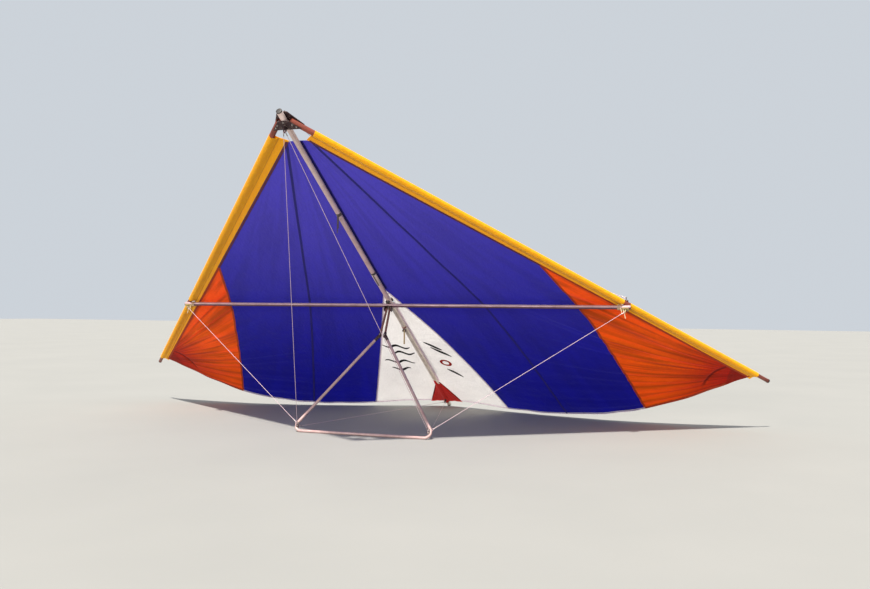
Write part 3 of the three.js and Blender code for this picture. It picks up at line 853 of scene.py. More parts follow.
def tube_finish(name, bright, dull, metal=0.75, shine=0.36, painted_shade=None, tint=None):
    paint = Paint(name)
    streaks = paint.noise(90.0, 4.0, 0.6, (1, 1, 0.04))
    blotches = paint.noise(9.0, 5.0, 0.65)
    specks = paint.noise(210.0, 2.0, 0.5)
    aged = (blotches * 0.6 + streaks * 0.4).step(0.4, 0.64)
    dirt = (specks * 0.6 + blotches * 0.4).step(0.6, 0.72)
    colour = paint.mix(aged, bright, dull)
    colour = paint.mix(dirt * 0.6, colour, GRIME)
    # Painted shade: a tint multiplied onto the colour where the mask says.
    if painted_shade:
        colour = paint.mix(painted_shade(paint), colour, tint, "MULTIPLY")
    surface = paint.bump(streaks * 0.6 + specks * 0.4, 0.0004)
    return paint.finish(paint.principled(
        Base_Color=colour, Metallic=metal - dirt * 0.4, Roughness=shine + aged * 0.2 + dirt * 0.15,
        Normal=surface,
    ))


BRIGHT, BRIGHT_AGED = rgb(0.95, 0.84, 0.72), rgb(0.76, 0.64, 0.52)
POST_ALUMINIUM = tube_finish("weathered_aluminium", BRIGHT, BRIGHT_AGED, 0.25, 0.42)
# The keel is painted darker and more purple before the hub: painted shade.
SHADED_KEEL = tube_finish("dulled_keel", BRIGHT, BRIGHT_AGED, 0.25, 0.42, keel_shade_before_hub, rgb(0.62, 0.5, 0.6))
BAR_ALUMINIUM = tube_finish("rosy_aluminium", rgb(0.5, 0.35, 0.33), rgb(0.38, 0.25, 0.24), 0.3, 0.46)
# The crossbar is painted darker along its underside: painted shade.
SHADED_BAR = tube_finish("shaded_crossbar", rgb(0.46, 0.32, 0.33), rgb(0.36, 0.24, 0.25), 0.3, 0.46,
                          crossbar_underside_shade, rgb(0.24, 0.16, 0.22))
COATED_TUBE = tube_finish("red_brown_coat", rgb(0.24, 0.05, 0.028), rgb(0.13, 0.032, 0.02), 0.25, 0.38)
# The necks get a darker, more purple finish than the legs.
NECK_DARK = tube_finish("dark_purple_neck", rgb(0.17, 0.07, 0.06), rgb(0.075, 0.03, 0.03), 0.35, 0.36)


# %% [markdown]
# Fittings are cut and folded plate, painted or dipped nearly black. Use rubs the paint off in chips
# and scratches, and bare metal shows through. Two noises multiplied give the chips: both have to be
# high at once, so they come in small groups instead of an even speckle.

# %% Fitting finishes
CHIP_DEPTH = 0.0003


def fitting_finish(name, coat, worn_coat, bare, metal=0.3):
    paint = Paint(name)
    wide = paint.noise(24.0, 4.0, 0.6)
    fine = paint.noise(260.0, 3.0, 0.6)
    faded = wide.step(0.4, 0.62)
    chips = ((wide - 0.44) * (fine - 0.42) * 40.0).step(0.75, 1.1)
    colour = paint.mix(faded, coat, worn_coat)
    colour = paint.mix(chips, colour, bare)
    surface = paint.bump(fine * 0.5 - chips * 0.8, CHIP_DEPTH)
    return paint.finish(paint.principled(
        Base_Color=colour, Metallic=metal + chips * 0.5, Roughness=0.5 - chips * 0.15 + faded * 0.12,
        Normal=surface,
    ))


DARK_PLATE = fitting_finish(
    "dark_plate", rgb(0.028, 0.012, 0.014), rgb(0.06, 0.03, 0.03), rgb(0.35, 0.3, 0.27),
)
CREAM_PLATE = fitting_finish(
    "cream_plate", rgb(0.4, 0.3, 0.11), rgb(0.33, 0.24, 0.09), rgb(0.24, 0.2, 0.14), 0.1,
)
BOLT_STEEL = fitting_finish(
    "bolt_steel", rgb(0.3, 0.27, 0.25), rgb(0.17, 0.14, 0.13), rgb(0.6, 0.58, 0.55), 0.8,
)
CAP_PLASTIC = fitting_finish(
    "cap_plastic", rgb(0.02, 0.017, 0.016), rgb(0.05, 0.043, 0.04), rgb(0.12, 0.1, 0.09), 0.0,
)


# %% [markdown]
# A rigging wire is strands laid up in a twist under a clear sheath that has gone pink with age. The
# twist is far too fine to model along metres of wire, so a bump runs round it as a screw thread: the
# angle round the wire plus the distance along it, through a sine. Its swaged ends are bare metal, and
# a second attribute named swage says where they are.

# %% Wire and webbing finishes
LAYS_PER_METRE = 60.0
RIBS_PER_METRE, CORDS_PER_METRE = 2400.0, 2100.0


def wire_finish():
    paint = Paint("sheathed_wire")
    turn = paint.node("ShaderNodeMath", {"operation": "ARCTAN2"}, {0: paint.axis(1), 1: paint.axis(0)})
    thread = (turn * 3.0 + paint.axis(2) * (LAYS_PER_METRE * 2 * math.pi)).sine()
    swage = paint.node("ShaderNodeAttribute", {"attribute_name": "swage"}, out=2)
    grime = paint.noise(60.0, 3.0, 0.6).step(0.45, 0.65)
    sheath = paint.mix(thread * 0.2 + 0.25 + grime * 0.3, rgb(0.66, 0.5, 0.54), rgb(0.4, 0.28, 0.31))
    steel = paint.mix(grime, rgb(0.34, 0.31, 0.29), rgb(0.16, 0.13, 0.12))
    return paint.finish(paint.principled(
        Base_Color=paint.mix(swage, sheath, steel), Metallic=swage * 0.7 + 0.1,
        Roughness=0.42 + grime * 0.15, Normal=paint.bump(thread * (1 - swage), 0.0004),
    ))


def webbing_finish(name, colour, faded):
    """Strap woven from thick yarns, its ribs running across it."""
    paint = Paint(name)
    ribs = (paint.axis(2) * RIBS_PER_METRE).sine()
    cords = (paint.axis(0) * CORDS_PER_METRE).sine()
    fuzz = paint.noise(300.0, 3.0, 0.6)
    worn = (paint.noise(30.0, 4.0, 0.6) * 0.7 + fuzz * 0.3).step(0.4, 0.62)
    tint = paint.mix(worn, colour, faded)
    tint = paint.mix((1 - ribs * cords) * 0.15, tint, rgb(0.01, 0.008, 0.008))
    surface = paint.bump(ribs * cords * 0.5 + fuzz * 0.3, 0.0005)
    return paint.finish(paint.principled(Base_Color=tint, Roughness=0.85, Normal=surface, Sheen_Weight=0.3))


SHEATHED_WIRE = wire_finish()
DARK_WEBBING = webbing_finish("dark_webbing", rgb(0.03, 0.02, 0.018), rgb(0.075, 0.05, 0.042))
RED_WEBBING = webbing_finish("red_brown_webbing", rgb(0.24, 0.045, 0.03), rgb(0.32, 0.09, 0.06))
CREAM_TAPE = webbing_finish("cream_tape", rgb(0.6, 0.45, 0.25), rgb(0.48, 0.34, 0.18))
print("finishes", len(bpy.data.materials))

# %% [markdown]
# Three ways of making a shape cover nearly all the hard parts. A tube starts as an open cylinder,
# gets collars by cutting a band and pushing it outwards, and then a wall. A turned piece is one
# outline spun round. A plate starts as a flat square that is moved to its outline, gets round
# corners, and is given its thickness.

# %% Tubes, turned pieces and plates
TUBE_WALL = 0.0016
TUBE_FACETS = 40
RIM_BEVEL = 0.0005
SAME_PLACE = 1e-6


def carry(piece, place):
    """Records the grain, then moves the mesh to its place."""
    if "grain" not in piece.data.attributes:
        record_grain(piece)
    piece.data.transform(place)
    return piece


def rod(name, low, high, radius, facets, ends="NGON"):
    """A plain upright cylinder between two heights."""
    return start(
        name, bpy.ops.mesh.primitive_cylinder_add, vertices=facets, radius=radius, depth=high - low,
        location=(0, 0, (low + high) / 2), end_fill_type=ends,
    )


def band_faces(piece, low, high):
    """Cuts a tube round at two heights and selects the faces between."""
    for height in (low, high):
        pick_all(piece)
        bpy.ops.mesh.bisect(plane_co=(0, 0, height), plane_no=(0, 0, 1))
    pick(piece, lambda face: low < face.calc_center_median().z < high)


def tube(name, first, last, radius, collars=(), facets=TUBE_FACETS):
    """A hollow tube between two points. Its collars are (from, to, how far they stand out)."""
    piece = rod(name, 0, (Vector(last) - Vector(first)).length, radius, facets, "NOTHING")
    for low, high, proud in collars:
        band_faces(piece, low, high)
        bpy.ops.mesh.extrude_region_move()
        share = 1 + proud / radius
        bpy.ops.transform.resize(value=(share, share, 1), center_override=(0, 0, 0))
    leave_edit_mode()
    modify(piece, "SOLIDIFY", thickness=TUBE_WALL, offset=-1)
    round_edges(piece, RIM_BEVEL, 50)
    smooth(piece)
    return carry(piece, axis_frame(first, last))


def turned(name, outline, facets=32):
    """A round piece spun about Z from an outline of (radius, height) points."""
    piece = start(name, bpy.ops.mesh.primitive_plane_add, size=RIM_BEVEL)
    pick_all(piece)
    bpy.ops.mesh.merge(type="CENTER")
    bpy.ops.transform.translate(value=(outline[0][0], 0, outline[0][1]))
    for here, there in zip(outline, outline[1:]):
        step = (there[0] - here[0], 0, there[1] - here[1])
        bpy.ops.mesh.extrude_region_move(TRANSFORM_OT_translate={"value": step})
    pick_all(piece)
    bpy.ops.mesh.spin(steps=facets, angle=2 * math.pi, center=(0, 0, 0), axis=(0, 0, 1))
    turn_outwards(piece, SAME_PLACE)
    smooth(piece)
    return piece


def plate(name, corners, thickness, corner_radius=0.004, edge=0.0006):
    """A flat plate on Z = 0 from four corners, its corners rounded, then given its thickness upwards."""
    piece = start(name, bpy.ops.mesh.primitive_plane_add, size=1)
    outline_square(piece, corners)
    pick_all(piece)
    bpy.ops.mesh.bevel(offset=corner_radius, segments=6, affect="VERTICES")
    bpy.ops.mesh.select_all(action="SELECT")
    bpy.ops.mesh.normals_make_consistent(inside=False)
    bpy.ops.mesh.extrude_region_move(TRANSFORM_OT_translate={"value": (0, 0, thickness)})
    bpy.ops.mesh.select_all(action="SELECT")
    bpy.ops.mesh.normals_make_consistent(inside=False)
    leave_edit_mode()
    round_edges(piece, edge, 40)
    smooth(piece)
    return piece


def box_corners(half_x, half_y, x=0.0):
    return ((x - half_x, -half_y), (x + half_x, -half_y), (x + half_x, half_y), (x - half_x, half_y))


def lay(piece, x, y, z):
    """Moves a plate to its place, still lying flat."""
    return carry(piece, Matrix.Translation((x, y, z)))


def stand(piece, x, y, z):
    """Stands a plate on edge: its X runs aft, its Y up and its thickness across the glider."""
    return carry(piece, Matrix(((0, 0, 1, x), (1, 0, 0, y), (0, 1, 0, z), (0, 0, 0, 1))))


def drill(piece, first, last, radius):
    """Cuts a round hole from one point to another."""
    bit = rod("bit", 0, (Vector(last) - Vector(first)).length, radius, 24)
    bit.data.transform(axis_frame(first, last))
    modify(piece, "BOOLEAN", operation="DIFFERENCE", object=bit, solver="EXACT")
    bpy.data.objects.remove(bit)


def copy_of(model, name, place):
    """A copy with its own mesh, carried to its place."""
    copy = model.copy()
    copy.data = model.data.copy()
    copy.name = copy.data.name = name
    bpy.context.scene.collection.objects.link(copy)
    copy.data.transform(place)
    if place.determinant() < 0:
        copy.data.flip_normals()
    return copy


MIRROR = Matrix.Diagonal((-1, 1, 1, 1))
LEFT_GRAIN = Vector((0, 0, 7.3))


def settle_pair(piece, name, material, slot, body="root", nodes=()):
    """Settles a right-hand piece and its mirror image, which gets a grain of its own."""
    if "grain" not in piece.data.attributes:
        record_grain(piece)
    left = copy_of(piece, name + "_left", MIRROR)
    for value in left.data.attributes["grain"].data:
        value.vector = value.vector + LEFT_GRAIN
    piece.name = piece.data.name = name + "_right"
    settle(piece, material, slot, body, [node + "_right" for node in nodes])
    settle(left, material, slot, body, [node + "_left" for node in nodes])
    return piece, left


# %% [markdown]
# One bolt serves every joint. Its two ends are modelled once, in units of the shank's radius: a
# washer and a six-sided head with its corners turned off, and a washer and a nut with the thread
# standing out of it. Each bolt is copies of these, carried to either side of what it clamps.

# %% Bolts
HEAD = 1.75
HEAD_TOP, NUT_TOP = 1.2, 1.5
CHAMFER_IN, CHAMFER_UP = 0.28, 0.22
WASHER = 2.2
WASHER_TOP = 0.25
WASHER_OUTLINE = [(0, 0), (WASHER - 0.1, 0), (WASHER, 0.08), (WASHER - 0.1, WASHER_TOP), (0, WASHER_TOP)]
STUD_OUTLINE = [(0, 1.4), (1, 1.4), (1, 2.5), (0.75, 2.75), (0, 2.75)]


def six_sided(name, low, high):
    piece = rod(name, low, high, HEAD, 6)
    pick(piece, lambda face: face.normal.z > 0.9)
    bpy.ops.mesh.inset(thickness=CHAMFER_IN)
    bpy.ops.transform.translate(value=(0, 0, CHAMFER_UP))
    leave_edit_mode()
    round_edges(piece, 0.07, 25)
    return piece


def on_washer(name, top):
    return [six_sided(name, WASHER_TOP, top), turned("washer", WASHER_OUTLINE, 24)]


bolt_head = join("bolt_head", on_washer("bolt_head", HEAD_TOP))
bolt_nut = join("bolt_nut", on_washer("bolt_nut", NUT_TOP) + [turned("stud", STUD_OUTLINE, 16)])
print("bolt head", len(bolt_head.data.polygons), "faces, nut", len(bolt_nut.data.polygons))


def bolt(first, last, radius):
    """The parts of a bolt whose head sits at first and whose nut sits at last."""
    first, last = Vector(first), Vector(last)
    size = Matrix.Scale(radius, 4)
    head = carry(copy_of(bolt_head, "head", size), axis_frame(first, first * 2 - last))
    nut = carry(copy_of(bolt_nut, "nut", size), axis_frame(last, last * 2 - first))
    shank = carry(rod("shank", 0, (last - first).length, radius, 16), axis_frame(first, last))
    return [head, nut, shank]


def bolt_across(half, y, z, radius):
    """A bolt across the glider, its head on the right."""
    return bolt((half, y, z), (-half, y, z), radius)


def bolt_down(x, y, top, bottom, radius):
    """A bolt that goes down square to the tubes, its head on top."""
    return bolt((x, y, top), (x, y, bottom), radius)


# %% [markdown]
# The keel runs the whole length of the glider, and everything is bolted to it. The leading edges are
# each a thick tube with a thinner one sleeved into its rear end, so a collar and a step show there.
# The crossbar has a short sleeve where the hub clamps it and others where its ends are bolted.

# %% Keel, leading edges and crossbar
CAP_REACH = 0.012
CAP_PROUD = 0.0015
CAP_RIM = 0.003
CAP_DISH = 0.0008
SLEEVE = 0.0011
TUBE_OVERLAP = 0.3
CROSSBAR_END = CROSSBAR_HALF + 0.045


def leading_edge(along, inward=0.0, up=0.0):
    """A point by the right leading edge: along it, in from it towards the keel, and up."""
    flat = leading_point(along, inward)
    return Vector((flat.x, flat.y, up))


def cap(name, first, last, radius):
    """A moulded plug on a tube's end, with a rounded rim and a flat face."""
    depth = (Vector(last) - Vector(first)).length
    outline = [
        (0, 0), (radius, 0), (radius, depth - CAP_RIM), (radius - CAP_RIM * 0.3, depth - CAP_RIM * 0.3),
        (radius - CAP_RIM, depth), (0.4 * radius, depth), (0.36 * radius, depth - CAP_DISH),
        (0, depth - CAP_DISH),
    ]
    return carry(turned(name, outline, TUBE_FACETS), axis_frame(first, last))


keel_collars = ((0.005, 0.2, SLEEVE), (HUB_Y - 0.1, HUB_Y + 0.2, SLEEVE), (4.86, 5.02, SLEEVE))
keel = tube("keel", (0, -NOSE_OVERHANG, 0), (0, KEEL_LENGTH, 0), MAIN_RADIUS, keel_collars, 48)
settle(keel, SHADED_KEEL, "keel_tube", nodes=["keel_tube"])
for end, y, way in (("front", -NOSE_OVERHANG, -1), ("tail", KEEL_LENGTH, 1)):
    inner, outer = (0, y + way * TOUCH, 0), (0, y + way * CAP_REACH, 0)
    plug = cap(f"keel_plug_{end}", inner, outer, MAIN_RADIUS + CAP_PROUD)
    settle(plug, CAP_PLASTIC, "end_cap", nodes=[f"keel_cap_{end}"])

front_length = LEADING_STEP - LEADING_START
front_tube = tube(
    "front", leading_edge(LEADING_START), leading_edge(LEADING_STEP), MAIN_RADIUS,
    ((front_length - 0.05, front_length - 0.004, SLEEVE),),
)
rear_start = leading_edge(LEADING_STEP - TUBE_OVERLAP)
rear_tube = tube("rear", rear_start, leading_edge(LEADING_LENGTH), LEADING_TAIL_RADIUS)
edge_tube = join("leading_edge", [front_tube, rear_tube])
settle_pair(edge_tube, "leading_edge", COATED_TUBE, "leading_edge_tube", nodes=["leading_edge_tube"])
inner, outer = leading_edge(LEADING_LENGTH + TOUCH), leading_edge(LEADING_LENGTH + CAP_REACH)
plug = cap("leading_edge_plug", inner, outer, LEADING_TAIL_RADIUS + CAP_PROUD)
settle_pair(plug, "leading_edge_plug", CAP_PLASTIC, "end_cap", nodes=["leading_edge_cap"])

bar_length = 2 * CROSSBAR_END
bar_collars = (
    (0.004, 0.12, SLEEVE),
    (CROSSBAR_END - 0.09, CROSSBAR_END + 0.09, SLEEVE),
    (bar_length - 0.12, bar_length - 0.004, SLEEVE),
)
bar_ends = (-CROSSBAR_END, HUB_Y, CROSSBAR_Z), (CROSSBAR_END, HUB_Y, CROSSBAR_Z)
bar = tube("crossbar", *bar_ends, CROSSBAR_RADIUS, bar_collars)
settle(bar, SHADED_BAR, "crossbar_tube", nodes=["crossbar_tube"])

# %% [markdown]
# Two plates clamp the three tubes at the nose, the upper one a little larger. Bolts go through both
# plates and each tube. The tangs are upright plates that the wires hook into: each has a rounded
# free end and a hole, and is welded to a small base plate.

# %% Nose plates
PLATE_THICKNESS = 0.004
PLATE_FRONT_HALF = 0.042
PLATE_MARGIN = 0.014
PLATE_GAP = MAIN_RADIUS + TOUCH
ON_NOSE_PLATE = PLATE_GAP + PLATE_THICKNESS + TOUCH
TAIL_TANG_Y = 4.89
TANG_HALF = 0.003


def nose_plate(where, front, back, low):
    wide = back * math.tan(NOSE_HALF_ANGLE) + PLATE_MARGIN
    corners = ((-PLATE_FRONT_HALF, front), (PLATE_FRONT_HALF, front), (wide, back), (-wide, back))
    piece = lay(plate(f"{where}_nose_plate", corners, PLATE_THICKNESS, 0.007), 0, 0, low)
    settle(piece, DARK_PLATE, "dark_fitting", nodes=[f"nose_plate_{where}"])


PLATE_FACE = PLATE_GAP + PLATE_THICKNESS
NOSE_BOLTS = ((0, 0.045), (0.064, 0.074), (-0.064, 0.074), (0.087, 0.1), (-0.087, 0.1))
nose_plate("upper", -0.02, 0.135, PLATE_GAP)
nose_plate("lower", 0.028, 0.125, -PLATE_FACE)
nose_bolts = []
for x, y in NOSE_BOLTS:
    nose_bolts += bolt_down(x, y, PLATE_FACE, -PLATE_FACE, 0.004)
settle(join("nose_bolts", nose_bolts), BOLT_STEEL, "dark_fitting")

# %% [markdown]
# A tang's front, back, foot and free end are places, and its hole is measured from the foot. The
# hole is cut with a boolean, because a bevelled plate has no face of the right size to open up.

# %% Tangs
FOOT_HALF, FOOT_THICKNESS = 0.011, 0.003
NOSE_TANG_TIP = -ON_NOSE_PLATE - 0.055
UPPER_NOSE_TANG = (0.004, 0.044)
UPPER_TAIL_HALF = 0.02
TANGS = {
    "nose_tang": (0.07, 0.118, -ON_NOSE_PLATE, NOSE_TANG_TIP, -0.044),
    "nose_tang_upper": (*UPPER_NOSE_TANG, ON_NOSE_PLATE, ON_NOSE_PLATE + 0.04, 0.028),
    "tail_tang": (TAIL_TANG_Y - 0.024, TAIL_TANG_Y + 0.024, -PLATE_GAP, -PLATE_GAP - 0.042, -0.03),
    "tail_tang_upper": (
        TAIL_TANG_Y - UPPER_TAIL_HALF, TAIL_TANG_Y + UPPER_TAIL_HALF, PLATE_GAP, PLATE_GAP + 0.034, 0.024,
    ),
}
for node, (front, back, base, tip, hole) in TANGS.items():
    half, middle, depth = (back - front) / 2, (front + back) / 2, abs(tip - base)
    flap = plate(node + "_plate", box_corners(half, depth / 2), 2 * TANG_HALF, min(half, 0.4 * depth))
    stand(flap, -TANG_HALF, middle, (base + tip) / 2)
    drill(flap, (-0.02, middle, base + hole), (0.02, middle, base + hole), 0.004)
    smooth(flap)
    foot = plate("foot", box_corners(FOOT_HALF, half), FOOT_THICKNESS, 0.004)
    lay(foot, 0, middle, base if tip > base else base - FOOT_THICKNESS)
    settle(join(node + "_plate", [flap, foot]), DARK_PLATE, "dark_fitting", nodes=[node])

# %% [markdown]
# The brackets are strips of plate with their sides folded up into ears, and a bolt through the ears
# is the pivot. A flat square becomes one by extruding its two long edges square to it, narrowing
# them and rounding their corners. Solidify then gives the whole fold one thickness, and a bevel
# rounds the bends.

# %% Folded brackets
def folded(name, half_width, half_length, ear_half, wall, y, face, tip):
    """A channel on the keel's line, whose base lies on face and whose ears reach to tip."""
    way = 1 if tip > face else -1
    piece = start(name, bpy.ops.mesh.primitive_plane_add, size=1)
    outline_square(piece, box_corners(half_width - wall / 2, half_length))
    pick(piece, lambda edge: abs(edge.verts[0].co.x - edge.verts[1].co.x) < SAME_PLACE, "EDGE")
    reach = abs(tip - face) - wall / 2
    narrow = ear_half / half_length
    bpy.ops.mesh.extrude_region_move(TRANSFORM_OT_translate={"value": (0, 0, reach * 0.45)})
    bpy.ops.mesh.extrude_region_move(TRANSFORM_OT_translate={"value": (0, 0, reach * 0.55)})
    bpy.ops.transform.resize(value=(1, narrow, 1), center_override=(0, 0, 0))
    pick(piece, lambda point: point.co.z > reach * 0.9, "VERT")
    bpy.ops.mesh.bevel(offset=ear_half * 0.6, segments=5, affect="VERTICES")
    turn_outwards(piece)
    modify(piece, "SOLIDIFY", thickness=wall, offset=0, use_even_offset=True)
    round_edges(piece, wall * 0.3, 40)
    smooth(piece, 30)
    place = Matrix.Translation((0, y, face + way * wall / 2))
    carry(piece, place @ Matrix.Diagonal((1, 1, way, 1)))
    if way < 0:
        piece.data.flip_normals()
    return piece


BASE_THICKNESS = 0.005
HUB_HALF, SEAT_HALF, HANGER_HALF = 0.036, 0.024, 0.017
HANG_Y = 3.2
HANG_Z = -PLATE_GAP - 0.014
hub = folded(
    "hub_channel", HUB_HALF, 0.03, 0.022, BASE_THICKNESS, HUB_Y, UNDER_CROSSBAR, FRAME_PIVOT_Z - 0.018,
)
settle(hub, DARK_PLATE, "dark_fitting", nodes=["hub_bracket"])
seat = folded(
    "kingpost_channel", SEAT_HALF, 0.024, 0.024, BASE_THICKNESS, HUB_Y, PLATE_GAP, KINGPOST_PIVOT_Z + 0.016,
)
settle(seat, DARK_PLATE, "dark_fitting", nodes=["kingpost_bracket"])
hanger = folded("hang_channel", HANGER_HALF, 0.014, 0.012, 0.004, HANG_Y, -PLATE_GAP, HANG_Z - 0.009)
settle(hanger, DARK_PLATE, "dark_fitting", nodes=["hang_bracket"])

# %% [markdown]
# At the hub a plastic saddle keeps the keel off the crossbar, and two bolts cross: the pivot, and one
# down through both tubes. At either end of the crossbar a cream shoe clamps it from below and a small
# tang sits on top. Both are a flat base with an ear welded on, for the side wires, and one bolt goes
# down through them and the tubes between.

# %% Saddle, bolts and the crossbar's end fittings
SADDLE_DEPTH = 0.02
BOLT_ASIDE = 0.012
ON_TOP, UNDERNEATH = PLATE_GAP + BASE_THICKNESS, UNDER_CROSSBAR - BASE_THICKNESS
saddle = plate("hub_saddle", box_corners(0.02, 0.016), SADDLE_DEPTH, 0.007, 0.003)
settle(lay(saddle, 0, HUB_Y - 0.05, -PLATE_GAP - SADDLE_DEPTH), CAP_PLASTIC, "dark_fitting")
hub_bolts = bolt_across(HUB_HALF, HUB_Y, FRAME_PIVOT_Z, 0.0045)
hub_bolts += bolt_down(0, HUB_Y, ON_TOP, UNDERNEATH, 0.0045)
kingpost_bolts = bolt_across(SEAT_HALF, HUB_Y, KINGPOST_PIVOT_Z, 0.004)
hang_bolts = bolt_across(HANGER_HALF, HANG_Y, HANG_Z, 0.0035)
settle(join("hub_bolts", hub_bolts), BOLT_STEEL, "dark_fitting")
settle(join("kingpost_bolt", kingpost_bolts), BOLT_STEEL, "dark_fitting")
settle(join("hang_bolt", hang_bolts), BOLT_STEEL, "dark_fitting")


def base_and_ear(base_halves, base_round, ear_half, ear_round, face, tip):
    """A base that lies on face, where crossbar and leading edge cross, with an ear that reaches to tip."""
    base = plate("base", box_corners(*base_halves), BASE_THICKNESS, base_round)
    lay(base, CROSSBAR_HALF, HUB_Y, face if tip > face else face - BASE_THICKNESS)
    ear = plate("ear", box_corners(ear_half, abs(tip - face) / 2), 2 * TANG_HALF, ear_round)
    return [base, stand(ear, CROSSBAR_HALF - TANG_HALF, HUB_Y, (face + tip) / 2)]


shoe = base_and_ear((0.032, 0.028), 0.008, 0.014, 0.012, UNDER_CROSSBAR, FRAME_PIVOT_Z - 0.012)
settle_pair(
    join("crossbar_shoe", shoe), "crossbar_shoe", CREAM_PLATE, "pale_fitting",
    nodes=["crossbar_end_bracket"],
)
top_tang = base_and_ear((0.02, 0.02), 0.006, 0.012, 0.01, PLATE_GAP, KINGPOST_PIVOT_Z + 0.006)
settle_pair(
    join("upper_tang", top_tang), "upper_tang", DARK_PLATE, "dark_fitting", nodes=["upper_wire_tang"],
)
junction_bolts = bolt_down(
    CROSSBAR_HALF + BOLT_ASIDE, HUB_Y + BOLT_ASIDE, ON_TOP, UNDERNEATH, 0.0035,
)
settle_pair(join("junction_bolt", junction_bolts), "junction_bolt", BOLT_STEEL, "dark_fitting")

# %% [markdown]
# The control frame is the triangle that the pilot holds. Two short dark necks come down close
# together from the hub, spread at the knee fittings into two legs, and the base bar joins those at
# the bottom with a bend at each end. All of it turns on the hub's pivot bolt, so it has its own
# plain coordinates: across, down from the pivot, and forward.

# %% Control frame places
FRAME_DEPTH = 1.33
FRAME_HALF_WIDTH = 0.674
CORNER_RADIUS = 0.055
FRAME_LEAN = math.radians(1.2)
KNEE_DEPTH = 0.285
LEG_RADIUS = 0.014
NECK_RADIUS = 0.011
KNEE_ACROSS = 0.025
NECK_TOP_ACROSS = 0.016
FITTING_LENGTH = 0.056
BELOW_FITTING = 0.0095


def frame_point(across, depth, forward=0.0):
    y = HUB_Y + depth * math.sin(FRAME_LEAN) - forward * math.cos(FRAME_LEAN)
    z = FRAME_PIVOT_Z - depth * math.cos(FRAME_LEAN) - forward * math.sin(FRAME_LEAN)
    return Vector((across, y, z))


corner_across = FRAME_HALF_WIDTH - CORNER_RADIUS
corner_depth = FRAME_DEPTH - CORNER_RADIUS
to_corner = math.hypot(corner_across - KNEE_ACROSS, corner_depth - KNEE_DEPTH)
LEG_ANGLE = math.atan2(corner_across - KNEE_ACROSS, corner_depth - KNEE_DEPTH)
LEG_ANGLE += math.asin(CORNER_RADIUS / to_corner)
LEG_END = (
    corner_across + CORNER_RADIUS * math.cos(LEG_ANGLE),
    corner_depth - CORNER_RADIUS * math.sin(LEG_ANGLE),
)
NECK_SPREAD = (KNEE_ACROSS - NECK_TOP_ACROSS) / KNEE_DEPTH


def along_neck(depth):
    return frame_point(NECK_TOP_ACROSS + depth * NECK_SPREAD, depth)


def along_leg(distance):
    across_leg = KNEE_ACROSS + distance * math.sin(LEG_ANGLE)
    return frame_point(across_leg, KNEE_DEPTH + distance * math.cos(LEG_ANGLE))


print("leg angle", round(math.degrees(LEG_ANGLE), 2), "degrees")

# %% [markdown]
# A knee is a short block that the neck stands on and the leg plugs into. It is two turned pieces at
# an angle: a body with a belt round it, in line with the neck, and a hollow socket in line with the
# leg, bored a little wider than the tube.

# %% Necks and knees
NECK_TOP = -0.012
FRAME_FACETS = 28
SOCKET_START, SOCKET_REACH = 0.006, 0.032
KNEE_BOLT = 0.0032
fitting_top = KNEE_DEPTH - FITTING_LENGTH / 2
neck_collars = ((0.001, 0.026, 0.0008),)
neck = tube(
    "neck", along_neck(NECK_TOP), along_neck(fitting_top), NECK_RADIUS, neck_collars, FRAME_FACETS,
)
settle_pair(neck, "neck", NECK_DARK, "neck_tube", "control_frame", ["control_frame_neck"])
knee_radius = LEG_RADIUS + CAP_PROUD
knee_outline = [
    (0, 0), (knee_radius - 0.003, 0), (knee_radius - 0.001, 0.002), (knee_radius - 0.001, 0.014),
    (knee_radius, 0.016), (knee_radius, 0.04), (knee_radius - 0.001, 0.042), (knee_radius - 0.001, 0.054),
    (knee_radius - 0.003, FITTING_LENGTH), (0, FITTING_LENGTH),
]
knee_frame = axis_frame(along_neck(fitting_top + TOUCH), along_neck(fitting_top + FITTING_LENGTH))
knee = carry(turned("knee", knee_outline, FRAME_FACETS), knee_frame)
leg_start = FITTING_LENGTH / 2 / math.cos(LEG_ANGLE) + BELOW_FITTING
socket_bore = leg_start - SOCKET_START - TOUCH
socket_end = leg_start - SOCKET_START + SOCKET_REACH
socket_radius = LEG_RADIUS + 0.0016
socket_outline = [
    (0, 0), (LEG_RADIUS - 0.004, 0), (socket_radius, 0.008), (socket_radius, socket_end - 0.0012),
    (LEG_RADIUS + 0.0008, socket_end), (LEG_RADIUS + TOUCH, socket_end), (LEG_RADIUS + TOUCH, socket_bore),
    (0, socket_bore),
]
socket_frame = axis_frame(along_leg(SOCKET_START), along_leg(1))
socket = carry(turned("socket", socket_outline, FRAME_FACETS), socket_frame)
knees = join("knee", [knee, socket])
settle_pair(knees, "knee", DARK_PLATE, "dark_fitting", "control_frame", ["knee_fitting"])
knee_middle = along_neck(KNEE_DEPTH)
knee_face = Vector((0, knee_radius, 0))
knee_bolts = bolt(knee_middle - knee_face, knee_middle + knee_face, KNEE_BOLT)
settle_pair(join("knee_bolt", knee_bolts), "knee_bolt", BOLT_STEEL, "dark_fitting", "control_frame")

# %% [markdown]
# The base bar is one tube bent at both ends. Half of it is modelled: a ring of points is pulled out
# along the bar and spun round the corner until it meets the leg. A mirror makes the other half.

# %% Legs and base bar
LEG_FACETS = 32
BAR_STEPS = 20
SHORT_OF_LEG = 0.003
leg_top, leg_foot = along_leg(leg_start), frame_point(*LEG_END)
leg_length = (leg_foot - leg_top).length
leg_collars = ((leg_length - 0.06, leg_length - 0.002, 0.0009),)
leg = tube("leg", leg_top, leg_foot, LEG_RADIUS, leg_collars, LEG_FACETS)
settle_pair(leg, "leg", BAR_ALUMINIUM, "leg_tube", "control_frame", ["control_frame_leg"])

